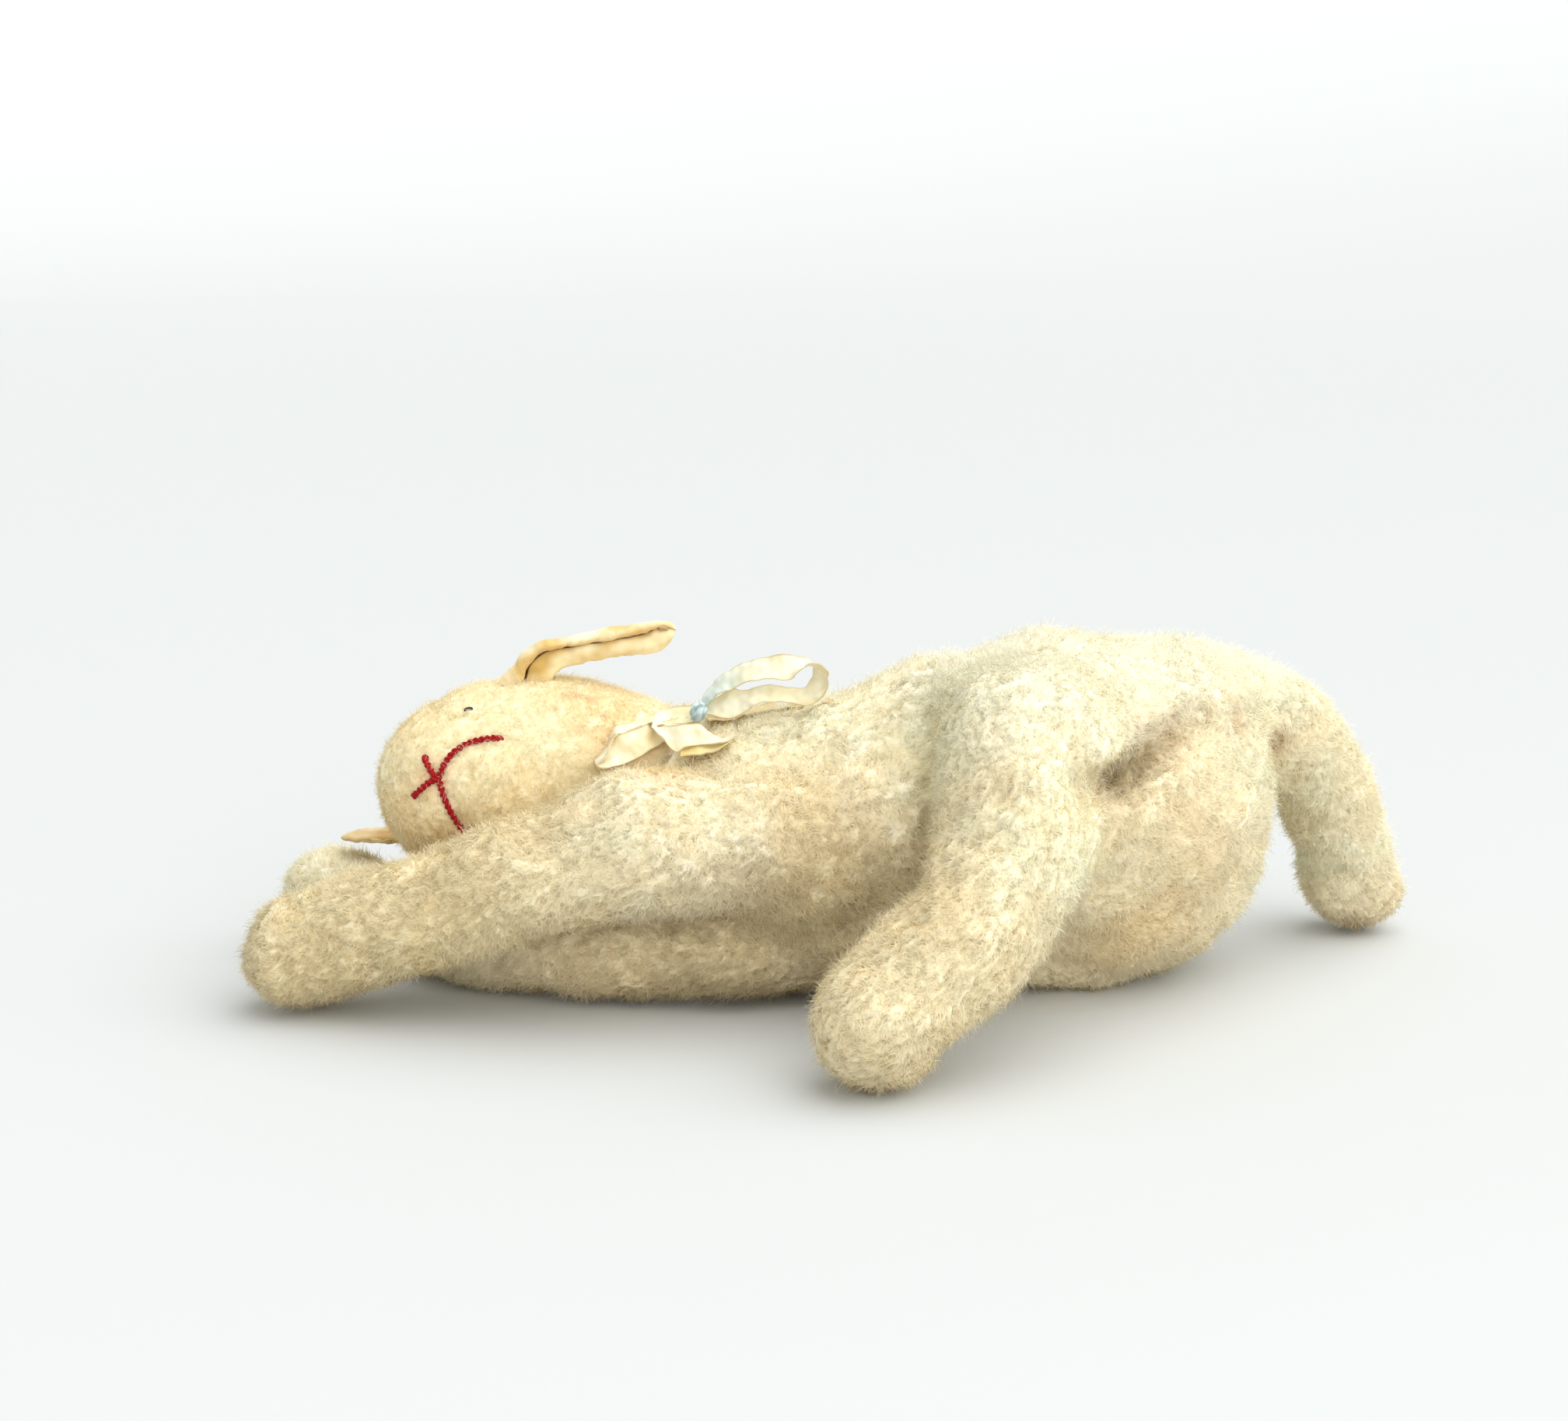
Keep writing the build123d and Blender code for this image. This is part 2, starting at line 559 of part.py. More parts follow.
right_arm_lower_panel.part.label = "right_arm_lower_panel"
export_step(right_arm_lower_panel.part, "parts/right_arm_lower_panel.step")
right_arm_stuffing.part.label = "right_arm_stuffing"
export_step(right_arm_stuffing.part, "parts/right_arm_stuffing.step")
left_leg_outer_panel.part.label = "left_leg_outer_panel"
export_step(left_leg_outer_panel.part, "parts/left_leg_outer_panel.step")
left_leg_inner_panel.part.label = "left_leg_inner_panel"
export_step(left_leg_inner_panel.part, "parts/left_leg_inner_panel.step")
left_leg_stuffing.part.label = "left_leg_stuffing"
export_step(left_leg_stuffing.part, "parts/left_leg_stuffing.step")
right_leg_outer_panel.part.label = "right_leg_outer_panel"
export_step(right_leg_outer_panel.part, "parts/right_leg_outer_panel.step")
right_leg_inner_panel.part.label = "right_leg_inner_panel"
export_step(right_leg_inner_panel.part, "parts/right_leg_inner_panel.step")
right_leg_stuffing.part.label = "right_leg_stuffing"
export_step(right_leg_stuffing.part, "parts/right_leg_stuffing.step")
left_ear_back.part.label = "left_ear_back"
export_step(left_ear_back.part, "parts/left_ear_back.step")
left_ear_lining.part.label = "left_ear_lining"
export_step(left_ear_lining.part, "parts/left_ear_lining.step")
right_ear_back.part.label = "right_ear_back"
export_step(right_ear_back.part, "parts/right_ear_back.step")
right_ear_lining.part.label = "right_ear_lining"
export_step(right_ear_lining.part, "parts/right_ear_lining.step")
ribbon_collar.part.label = "ribbon_collar"
export_step(ribbon_collar.part, "parts/ribbon_collar.step")
bow_knot.part.label = "bow_knot"
export_step(bow_knot.part, "parts/bow_knot.step")
bow_loop_upper.part.label = "bow_loop_upper"
export_step(bow_loop_upper.part, "parts/bow_loop_upper.step")
bow_loop_lower.part.label = "bow_loop_lower"
export_step(bow_loop_lower.part, "parts/bow_loop_lower.step")
bow_tail_long.part.label = "bow_tail_long"
export_step(bow_tail_long.part, "parts/bow_tail_long.step")
bow_tail_short.part.label = "bow_tail_short"
export_step(bow_tail_short.part, "parts/bow_tail_short.step")
mouth_stitch_left.part.label = "mouth_stitch_left"
export_step(mouth_stitch_left.part, "parts/mouth_stitch_left.step")
mouth_stitch_right.part.label = "mouth_stitch_right"
export_step(mouth_stitch_right.part, "parts/mouth_stitch_right.step")
nose_stitch_left.part.label = "nose_stitch_left"
export_step(nose_stitch_left.part, "parts/nose_stitch_left.step")
nose_stitch_right.part.label = "nose_stitch_right"
export_step(nose_stitch_right.part, "parts/nose_stitch_right.step")
eye_stitch_left.part.label = "eye_stitch_left"
export_step(eye_stitch_left.part, "parts/eye_stitch_left.step")
eye_stitch_right.part.label = "eye_stitch_right"
export_step(eye_stitch_right.part, "parts/eye_stitch_right.step")

for item in (torso_back_panel, torso_belly_panel, torso_stuffing, head_left_panel, head_right_panel,
             head_stuffing, left_arm_upper_panel, left_arm_lower_panel, left_arm_stuffing,
             right_arm_upper_panel, right_arm_lower_panel, right_arm_stuffing, left_leg_outer_panel,
             left_leg_inner_panel, left_leg_stuffing, right_leg_outer_panel, right_leg_inner_panel,
             right_leg_stuffing, left_ear_back, left_ear_lining, right_ear_back, right_ear_lining,
             ribbon_collar, bow_knot, bow_loop_upper, bow_loop_lower, bow_tail_long, bow_tail_short,
             mouth_stitch_left, mouth_stitch_right, nose_stitch_left, nose_stitch_right,
             eye_stitch_left, eye_stitch_right):
    b = item.part.bounding_box()
    print(item.part.label, len(item.part.solids()), round(item.part.volume),
          [round(v, 1) for v in (b.min.X, b.max.X, b.min.Y, b.max.Y, b.min.Z, b.max.Z)])
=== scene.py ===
import bpy
import math
import numpy as np
from mathutils import Vector, Matrix


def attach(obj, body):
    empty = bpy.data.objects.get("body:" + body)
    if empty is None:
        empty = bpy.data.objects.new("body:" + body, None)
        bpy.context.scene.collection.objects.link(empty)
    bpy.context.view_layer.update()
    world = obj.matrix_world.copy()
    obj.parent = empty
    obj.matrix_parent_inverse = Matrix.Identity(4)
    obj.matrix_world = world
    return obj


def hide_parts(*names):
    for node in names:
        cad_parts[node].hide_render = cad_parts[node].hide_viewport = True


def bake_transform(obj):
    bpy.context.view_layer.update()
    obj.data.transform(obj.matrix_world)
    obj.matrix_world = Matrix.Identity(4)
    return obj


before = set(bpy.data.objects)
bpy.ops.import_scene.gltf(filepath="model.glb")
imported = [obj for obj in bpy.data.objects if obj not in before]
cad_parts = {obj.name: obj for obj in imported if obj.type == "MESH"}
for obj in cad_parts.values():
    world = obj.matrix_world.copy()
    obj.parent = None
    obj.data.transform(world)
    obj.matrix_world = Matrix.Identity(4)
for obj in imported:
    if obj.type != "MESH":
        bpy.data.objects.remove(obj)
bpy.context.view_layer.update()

MM = 0.001
SHIFT = np.array([22.85, 6.55, 0.0])        # as in the CAD source
SEED = 7


def W(p):
    # millimetres, as the lengths below are written, to metres in the row frame
    return (np.asarray(p, float) - SHIFT) * MM


# ------------------------------------------------------------------ camera
FPX, PITCH = 3400.0, math.radians(12.0)
CAM = np.array([0.0, -900.0, 300.0])
FWD = np.array([0.0, math.cos(PITCH), -math.sin(PITCH)])
UPV = np.array([0.0, math.sin(PITCH), math.cos(PITCH)])
RGT = np.array([1.0, 0.0, 0.0])

cam_data = bpy.data.cameras.new("camera")
cam_data.sensor_width = 36.0
cam_data.lens = FPX / 2016.0 * 36.0
cam_data.clip_start, cam_data.clip_end = 0.05, 50
cam = bpy.data.objects.new("camera", cam_data)
bpy.context.scene.collection.objects.link(cam)
cam.location = W(CAM)
cam.rotation_euler = (math.pi / 2 - PITCH, 0, 0)
bpy.context.scene.camera = cam


def ray(u, v):
    d = FWD + RGT * (u - 1008.0) / FPX - UPV * (v - 913.5) / FPX
    return d / np.linalg.norm(d)


def px(u, v, y):
    # the point at depth y on a sight line
    d = ray(u, v)
    return CAM + d * ((y - CAM[1]) / d[1])


def hit(u, v, field, near=740.0, far=1130.0):
    # the first surface point on a sight line
    d = ray(u, v)
    t = np.arange(near, far, 2.0)
    f = field(CAM + t[:, None] * d)
    k = np.nonzero(f < 0)[0]
    if len(k) == 0:
        return CAM + d * t[int(np.argmin(f))]
    k = max(int(k[0]), 1)
    a, b = t[k - 1], t[k]
    for _ in range(12):
        m = (a + b) / 2
        if field((CAM + m * d)[None])[0] < 0:
            b = m
        else:
            a = m
    return CAM + b * d


# ------------------------------------------------------------------ noise
class Waves:
    # smooth noise from a seeded sum of waves
    def __init__(self, seed, scale, n=24):
        r = np.random.default_rng(SEED * 1000 + seed)
        k = r.normal(size=(n, 3))
        k /= np.linalg.norm(k, axis=1)[:, None]
        self.k = k * (2 * math.pi / scale) * r.uniform(0.6, 1.7, (n, 1))
        self.p = r.uniform(0, 2 * math.pi, n)
        self.n = n

    def __call__(self, P):
        return np.sin(P @ self.k.T + self.p).sum(1) / math.sqrt(self.n / 2)


class WaveVec:
    def __init__(self, seed, scale, n=14):
        self.w = [Waves(seed * 7 + i, scale, n) for i in range(3)]

    def __call__(self, P):
        return np.stack([w(P) for w in self.w], 1)


def hash3(c, salt):
    # repeatable numbers from whole-number cells
    c = c.astype(np.int64)
    h = (c[:, 0] * 73856093) ^ (c[:, 1] * 19349663) ^ (c[:, 2] * 83492791) ^ (salt * 2654435761)
    h = (h ^ (h >> 13)) * 1274126177
    h = h ^ (h >> 16)
    return (h & 0xFFFFFF).astype(float) / float(0xFFFFFF)


def cells(P, size, salt=0):
    # nearest scattered point, its own number, and the distance to it and to the next
    c0 = np.floor(P / size)
    best = np.full(len(P), 1e9)
    second = np.full(len(P), 1e9)
    where = np.zeros_like(P)
    ident = np.zeros(len(P))
    for dx in (-1, 0, 1):
        for dy in (-1, 0, 1):
            for dz in (-1, 0, 1):
                c = c0 + np.array([dx, dy, dz])
                q = (c + np.stack([hash3(c, salt + 1), hash3(c, salt + 2), hash3(c, salt + 3)], 1)) * size
                d = np.linalg.norm(P - q, axis=1)
                near = d < best
                second = np.where(near, best, np.minimum(second, d))
                where[near] = q[near]
                ident = np.where(near, hash3(c, salt + 4), ident)
                best = np.minimum(best, d)
    return where, ident, best, second


# ------------------------------------------------------------------ shapes
def smooth_chain(ch, n=6):
    # stations (x, y, z, r) turned into a finer smooth chain
    c = np.asarray(ch, float)
    if len(c) == 2:
        return c
    p = np.vstack([2 * c[0] - c[1], c, 2 * c[-1] - c[-2]])
    out = []
    for i in range(1, len(p) - 2):
        for t in np.arange(n) / n:
            a, b, d, e = p[i - 1], p[i], p[i + 1], p[i + 2]
            out.append(0.5 * ((2 * b) + (-a + d) * t + (2 * a - 5 * b + 4 * d - e) * t * t
                              + (-a + 3 * b - 3 * d + e) * t ** 3))
    out.append(c[-1])
    return np.array(out)


def chain_field(ch):
    c = smooth_chain(ch)
    A, AB, R, DR = c[:-1, :3], c[1:, :3] - c[:-1, :3], c[:-1, 3], c[1:, 3] - c[:-1, 3]
    LL = np.maximum((AB * AB).sum(1), 1e-9)

    def f(P):
        if len(P) < 1500:
            t = np.clip((P @ AB.T - (A * AB).sum(1)) / LL, 0, 1)
            D = P[:, None] - A - t[..., None] * AB
            return (np.sqrt((D * D).sum(2)) - R - DR * t).min(1)
        best = np.full(len(P), 1e9)
        for a, b in zip(c[:-1], c[1:]):
            ab = b[:3] - a[:3]
            t = np.clip(((P - a[:3]) @ ab) / max(ab @ ab, 1e-9), 0, 1)
            d = np.linalg.norm(P - a[:3] - t[:, None] * ab, axis=1) - (a[3] + (b[3] - a[3]) * t)
            best = np.minimum(best, d)
        return best
    return f


def smin(a, b, k):
    h = np.clip(0.5 + 0.5 * (b - a) / k, 0, 1)
    return b * (1 - h) + a * h - k * h * (1 - h)


def line_distance(P, line):
    line = np.asarray(line, float)
    best = np.full(len(P), 1e9)
    for a, b in zip(line[:-1], line[1:]):
        ab = b - a
        t = np.clip(((P - a) @ ab) / max(ab @ ab, 1e-9), 0, 1)
        best = np.minimum(best, np.linalg.norm(P - a - t[:, None] * ab, axis=1))
    return best


def bump(x):
    x = np.clip(x, 0, 1)
    return x * x * (3 - 2 * x)


def gradient(field, P, e=0.4):
    g = np.stack([field(P + e * np.eye(3)[i]) - field(P - e * np.eye(3)[i]) for i in range(3)], 1)
    return g / np.maximum(np.linalg.norm(g, axis=1), 1e-9)[:, None]


def surface(field, lo, hi, h):
    # a quad mesh of the zero level of a field
    n = [int(math.ceil((hi[i] - lo[i]) / h)) + 1 for i in range(3)]
    ax = [lo[i] + h * np.arange(n[i]) for i in range(3)]
    G = np.stack(np.meshgrid(*ax, indexing="ij"), -1).reshape(-1, 3)
    sparse = np.stack([np.arange(len(G)) // (n[1] * n[2]) // 3, np.arange(len(G)) // n[2] % n[1] // 3,
                       np.arange(len(G)) % n[2] // 3], 1)
    blocks, which = np.unique(sparse, axis=0, return_inverse=True)
    which = which.ravel()
    rough = field(np.array(lo) + h * (3 * blocks + 1.0))
    near = np.abs(rough)[which] < 3.6 * h + 3.0
    f = rough[which]
    k = np.nonzero(near)[0]
    for i in range(0, len(k), 60000):
        f[k[i:i + 60000]] = field(G[k[i:i + 60000]])
    f = f.reshape(n)
    s = f < 0
    corner = [(i, j, k) for i in (0, 1) for j in (0, 1) for k in (0, 1)]

    def cut(a, c):
        return a[c[0]:n[0] - 1 + c[0], c[1]:n[1] - 1 + c[1], c[2]:n[2] - 1 + c[2]]
    inside = np.stack([cut(s, c) for c in corner])
    act = inside.any(0) & ~inside.all(0)
    idx = -np.ones(act.shape, int)
    idx[act] = np.arange(act.sum())
    cell = np.argwhere(act)
    acc, cnt = np.zeros((len(cell), 3)), np.zeros(len(cell))
    for a in corner:
        for b in corner:
            if sum(b) == sum(a) + 1 and all(y >= x for x, y in zip(a, b)):
                fa = f[cell[:, 0] + a[0], cell[:, 1] + a[1], cell[:, 2] + a[2]]
                fb = f[cell[:, 0] + b[0], cell[:, 1] + b[1], cell[:, 2] + b[2]]
                m = (fa < 0) != (fb < 0)
                t = np.where(m, fa / np.where(m, fa - fb, 1), 0)
                p = np.array(a) + t[:, None] * (np.array(b) - np.array(a))
                acc[m] += p[m]
                cnt[m] += 1
    V = (cell + acc / cnt[:, None]) * h + np.array(lo)
    quads = []
    for d in range(3):
        e0 = [slice(None)] * 3
        e1 = [slice(None)] * 3
        e0[d], e1[d] = slice(0, -1), slice(1, None)
        ch = s[tuple(e0)] != s[tuple(e1)]
        at = np.argwhere(ch)
        o = [i for i in range(3) if i != d]
        ok = np.all((at[:, o] > 0) & (at[:, o] < np.array(n)[o] - 1), axis=1)
        at = at[ok]
        first_in = s[at[:, 0], at[:, 1], at[:, 2]]
        q = []
        for da, db in ((1, 1), (0, 1), (0, 0), (1, 0)):
            c = at.copy()
            c[:, o[0]] -= da
            c[:, o[1]] -= db
            q.append(idx[c[:, 0], c[:, 1], c[:, 2]])
        q = np.stack(q, 1)
        flip = first_in if d != 1 else ~first_in
        q[~flip] = q[~flip][:, ::-1]
        quads.append(q)
    return V, np.vstack(quads)


def relax(V, Q, n=2, k=0.5):
    for _ in range(n):
        acc, cnt = np.zeros_like(V), np.zeros(len(V))
        for i in range(4):
            a, b = Q[:, i], Q[:, (i + 1) % 4]
            np.add.at(acc, a, V[b])
            np.add.at(acc, b, V[a])
            np.add.at(cnt, a, 1)
            np.add.at(cnt, b, 1)
        V = V + k * (acc / np.maximum(cnt, 1)[:, None] - V)
    return V


def to_surface(V, field, n=3):
    for _ in range(n):
        d = field(V)
        g = gradient(field, V)
        V = V - g * np.clip(d, -2, 2)[:, None]
    return V


def make_mesh(name, V, faces, mats, smooth=True, face_mat=None):
    # V in millimetres; faces an (n, 3) or (n, 4) array
    faces = np.asarray(faces)
    me = bpy.data.meshes.new(name)
    me.vertices.add(len(V))
    me.vertices.foreach_set("co", W(V).astype(np.float32).ravel())
    k = faces.shape[1]
    me.loops.add(len(faces) * k)
    me.polygons.add(len(faces))
    me.loops.foreach_set("vertex_index", faces.ravel().astype(np.int32))
    me.polygons.foreach_set("loop_start", np.arange(0, len(faces) * k, k, dtype=np.int32))
    me.update(calc_edges=True)
    me.polygons.foreach_set("use_smooth", np.full(len(faces), smooth))
    for m in mats:
        me.materials.append(m)
    if face_mat is not None:
        me.polygons.foreach_set("material_index", np.asarray(face_mat, np.int32))
    me.validate()
    ob = bpy.data.objects.new(name, me)
    bpy.context.scene.collection.objects.link(ob)
    return ob


def paint(ob, name, rgb):
    a = ob.data.attributes.new(name, "FLOAT_COLOR", "POINT")
    a.data.foreach_set("color", np.hstack([rgb, np.ones((len(rgb), 1))]).astype(np.float32).ravel())


def lin(*c):
    c = np.array(c, float) / 255.0
    return np.where(c <= 0.04045, c / 12.92, ((c + 0.055) / 1.055) ** 2.4)


# ------------------------------------------------------------------ materials
def nodes_of(name):
    m = bpy.data.materials.new(name)
    m.use_nodes = True
    t = m.node_tree
    t.nodes.clear()
    return m, t.nodes, t.links


def fur_material(name, attribute, through=0.25, darker=1.0):
    m, n, l = nodes_of(name)
    out = n.new("ShaderNodeOutputMaterial")
    p = n.new("ShaderNodeBsdfPrincipled")
    p.inputs["Roughness"].default_value = 0.9
    p.inputs["Specular IOR Level"].default_value = 0.15
    p.inputs["Sheen Weight"].default_value = 0.12
    p.inputs["Sheen Roughness"].default_value = 0.6
    p.inputs["Sheen Tint"].default_value = (1.0, 0.97, 0.88, 1)
    a = n.new("ShaderNodeAttribute")
    a.attribute_name = attribute
    noise = n.new("ShaderNodeTexNoise")
    noise.inputs["Scale"].default_value = 420.0
    noise.inputs["Detail"].default_value = 3.0
    tc = n.new("ShaderNodeTexCoord")
    l.new(tc.outputs["Object"], noise.inputs["Vector"])
    ramp = n.new("ShaderNodeMapRange")
    ramp.inputs["To Min"].default_value = 0.955 * darker
    ramp.inputs["To Max"].default_value = 1.045 * darker
    l.new(noise.outputs["Fac"], ramp.inputs["Value"])
    mul = n.new("ShaderNodeVectorMath")
    mul.operation = "SCALE"
    l.new(a.outputs["Color"], mul.inputs[0])
    l.new(ramp.outputs["Result"], mul.inputs["Scale"])
    l.new(mul.outputs["Vector"], p.inputs["Base Color"])
    if through > 0:
        tr = n.new("ShaderNodeBsdfTranslucent")
        l.new(mul.outputs["Vector"], tr.inputs["Color"])
        mix = n.new("ShaderNodeMixShader")
        mix.inputs[0].default_value = through
        l.new(p.outputs[0], mix.inputs[1])
        l.new(tr.outputs[0], mix.inputs[2])
        l.new(mix.outputs[0], out.inputs[0])
    else:
        b = n.new("ShaderNodeBump")
        b.inputs["Strength"].default_value = 0.5
        b.inputs["Distance"].default_value = 0.001
        l.new(noise.outputs["Fac"], b.inputs["Height"])
        l.new(b.outputs[0], p.inputs["Normal"])
        l.new(p.outputs[0], out.inputs[0])
    return m


FUR = fur_material("pile", "fur", 0.35)
# painted shade: the backing under the fibres is made 3% darker
BACKING = fur_material("pile_backing", "fur", 0.0, 0.97)

# ------------------------------------------------------------------ the body's shape
# chains of balls (x, y, z, radius) down the middle of every stuffed part; each limb's
# chain starts inside the torso, so that its cloth flows out of the torso's
TORSO = [(-46, 42, 77, 25), (-30, 37, 72, 31), (-14, 32, 60, 42), (7, 32, 52, 48.5), (35, 36, 51.5, 52.5),
         (69, 42, 57, 57.5), (98, 46, 60.5, 60.5), (112, 47, 60, 57)]
HIPS = [(108, 34, 78, 50), (138, 50, 82, 41)]
RUMP = [(104, 46, 45, 46), (132, 51, 46, 43.5), (137, 52, 60, 43)]
BACK = [(18, 34, 56, 46), (29, 36, 60, 47), (45, 36, 66, 49), (60, 37, 69, 51), (80, 40, 70, 52)]
HEAD = [(-114, 48, 70, 35.5), (-103, 48, 72.5, 37.6), (-86, 46.5, 76, 36), (-66, 43.5, 79, 30), (-48, 41, 78, 24)]
LEFT_ARM = [(8, 18, 62, 24), (-12, 6, 62, 26), (-30, -2, 61, 27.5), (-46, -8, 61, 27), (-62, -12, 59.5, 25.5),
            (-86, -12, 51.5, 23.5), (-111, -10, 42.2, 22.5), (-139, -6, 32.2, 21.8), (-171, 1, 22.0, 21.4)]
RIGHT_ARM = [(20, 22, 27, 17), (4, 12, 23.5, 19.5), (-14, 7, 21.8, 20.3), (-33, 6, 21, 20), (-54, 8, 20.3, 19.2),
             (-74, 11, 19.6, 18.6), (-95, 18, 19.2, 18.2), (-119, 33, 19, 18), (-145, 56.5, 19, 18), (-173.5, 82, 19.4, 18.6)]
LEFT_LEG = [(90, 38, 70, 34), (88, 24, 84, 34), (86, 10, 92, 34), (83, -4, 95.5, 33), (80, -20, 87.0, 31),
            (77, -42.5, 72, 27.5), (64.4, -58.5, 51, 25), (47.8, -72, 35.5, 23.3), (30.5, -82, 22.6, 22.4)]
RIGHT_LEG = [(138, 48, 94, 28), (154, 56, 98.5, 25), (175, 66, 91.3, 21.8), (194, 76, 77, 20), (207, 85.5, 60, 19.2),
             (215.5, 93.5, 40, 18.7), (221, 99.5, 20.5, 18.4)]
CHAINS = {"torso": TORSO, "head": HEAD, "left_arm": LEFT_ARM, "right_arm": RIGHT_ARM,
          "left_leg": LEFT_LEG, "right_leg": RIGHT_LEG}
PILE = 2.2      # how far the pile stands proud of its backing
ROOTS = {       # where a part's cloth runs into the torso's: point, reach, softness
    "head": ((-52, 41, 78), 26, 9),
    "left_arm": ((-24, 0, 61), 58, 18),
    "right_arm": ((-8, 10, 22), 40, 12),
    "left_leg": ((84, 4, 96), 60, 22),
    "right_leg": ((148, 53, 97), 38, 14),
}
BALLS = {name: chain_field(ch) for name, ch in CHAINS.items()}
HIP_BALLS = chain_field(HIPS)
RUMP_BALLS = chain_field(RUMP)
BACK_BALLS = chain_field(BACK)
UNEVEN = [(Waves(1, 66), 1.0), (Waves(2, 27), 0.5)]
CREASES = []


def own(name, P):
    # one part alone, without its neighbours
    if name == "torso":
        return smin(smin(smin(BALLS["torso"](P), BACK_BALLS(P), 10), HIP_BALLS(P), 22), RUMP_BALLS(P), 14) + PILE
    return BALLS[name](P) + (1.5 if name == "head" else PILE)


def weather(P, share=1.0):
    # what every part shares: slack and creases
    d = np.zeros(len(P))
    for w, amp in UNEVEN:
        d += amp * share * w(P)
    for line, depth, width in CREASES:
        lo, hi = line.min(0) - 3 * width, line.max(0) + 3 * width
        m = np.all((P > lo) & (P < hi), axis=1)
        if m.any():
            d[m] += depth * np.exp(-(line_distance(P[m], line) / width) ** 2)
    return d


def joined(name, P, t=None):
    # the shared skin of torso and one part, and how much nearer the torso is (negative on the part)
    point, reach, soft = ROOTS[name]
    t = own("torso", P) if t is None else t
    x = own(name, P)
    far = np.linalg.norm(P - np.array(point), axis=1)
    k = 1.0 + soft * np.clip(1 - (far / reach) ** 2, 0, 1) ** 2
    return smin(t, x, k), x - t, x, far - reach


def part_field(name):
    def f(P):
        if name == "torso":
            t = own("torso", P)
            out = t
            for limb in ROOTS:
                u, m, x, out_of_reach = joined(limb, P, t)
                collar = np.maximum(np.maximum(u + 1.0 * bump(-m / 8), -m - 8), out_of_reach)
                out = np.minimum(out, collar)
            return out + weather(P)
        u, m, x, out_of_reach = joined(name, P)
        collar = np.maximum(np.maximum(u + 1.0 * bump(m / 8), m - 8), out_of_reach)
        return smin(x, collar, 2) + weather(P, 0.5 if name == "head" else 1.0)
    return f


FIELDS = {name: part_field(name) for name in CHAINS}


def whole(P):
    return np.min([own(n, P) for n in CHAINS], axis=0)


def crease(pts, depth, width, on=None):
    # pts are sight lines; the crease follows the surface they meet
    f = whole if on is None else (lambda P: own(on, P))
    CREASES.append((np.array([hit(u, v, f) for u, v in pts]), depth, width))


crease([(860, 993), (930, 1002), (996, 1003), (1080, 982), (1188, 950)], 3.6, 3.4)
crease([(836, 1180), (870, 1186), (931, 1202), (1003, 1210), (1060, 1198), (1120, 1165)], 5.0, 4.5)
crease([(1404, 972), (1440, 950), (1500, 921), (1556, 898)], -5.5, 9.0)
crease([(1404, 1020), (1428, 1002), (1460, 983), (1500, 956), (1540, 925)], 22.0, 6.0)
crease([(1186, 915), (1196, 960), (1198, 1020), (1196, 1080), (1180, 1150)], 6.0, 4.0)
crease([(1398, 1080), (1385, 1130), (1360, 1190), (1320, 1250)], 1.2, 3.0, "left_leg")
crease([(1215, 1050), (1260, 1075), (1330, 1068)], 1.0, 5.0, "left_leg")
crease([(1230, 970), (1275, 985), (1330, 975)], 0.9, 4.0)
crease([(1571, 900), (1590, 922), (1606, 946)], 6.5, 3.4)
crease([(1618, 902), (1636, 911), (1656, 914)], 5.0, 2.6, "right_leg")
crease([(1622, 972), (1634, 955), (1650, 946), (1664, 942)], 6.0, 2.2, "right_leg")
crease([(1620, 960), (1632, 972), (1640, 985)], 2.4, 3.0, "right_leg")
crease([(717, 873), (752, 903), (782, 933)], 0.8, 2.2, "head")
crease([(574, 981), (587, 966), (605, 956), (626, 951), (649, 950)], 1.1, 2.6, "head")
crease([(566, 1003), (570, 1020), (581, 1044), (596, 1066), (613, 1078)], 1.2, 2.6, "head")
crease([(590, 909), (603, 913), (618, 910)], 0.9, 2.4, "head")

BODIES = {
    "torso": ((-84, -36, -4), (186, 118, 140), 2.8),
    "head": ((-160, 0, 26), (-16, 96, 122), 2.3),
    "left_arm": ((-200, -50, -4), (42, 52, 100), 2.4),
    "right_arm": ((-200, -26, -4), (46, 112, 56), 2.4),
    "left_leg": ((0, -112, -4), (138, 82, 144), 2.4),
    "right_leg": ((96, 8, -4), (248, 126, 138), 2.4),
}


def colour_at(P, name):
    # the cream pile, where it has yellowed or soiled and where it is darker towards the floor; some marks and tints
    # are painted shade, and painted light lightens the top
    c = np.tile(lin(*CREAM), (len(P), 1))
    w = (Waves(31, 60)(P) * 0.5 + Waves(32, 24)(P) * 0.35 + Waves(33, 9)(P) * 0.25)
    k = np.clip(0.24 + 0.15 * w, 0, 0.8)[:, None]
    c = c * (1 - k) + lin(*AGED) * k
    for centre, radius, rgb, amount in STAINS_AND_PAINTED_SHADE:
        f = amount * np.exp(-(np.linalg.norm(P - centre, axis=1) / radius) ** 2)[:, None]
        c = c * (1 - f) + lin(*rgb) * f
    # painted light: above 92 mm every part but the head is lightened towards near-white
    painted_top_light = np.clip((P[:, 2] - 92) / 30, 0, 1)[:, None] * (0.0 if name == "head" else 0.35)
    c = c * (1 - painted_top_light) + lin(255, 252, 243) * painted_top_light
    # darker and yellower towards the floor
    low = np.clip((34 - P[:, 2]) / 40, 0, 1)[:, None] * 0.3
    c = c * (1 - low) + lin(*AGED) * 0.93 * low
    for point, radius, tint in TINTS.get(name, []):
        f = np.exp(-(np.linalg.norm(P - np.array(point), axis=1) / radius) ** 4)[:, None]
        c = c * (1 + (np.array(tint) - 1) * f)
    return np.clip(c, 0, 0.97)


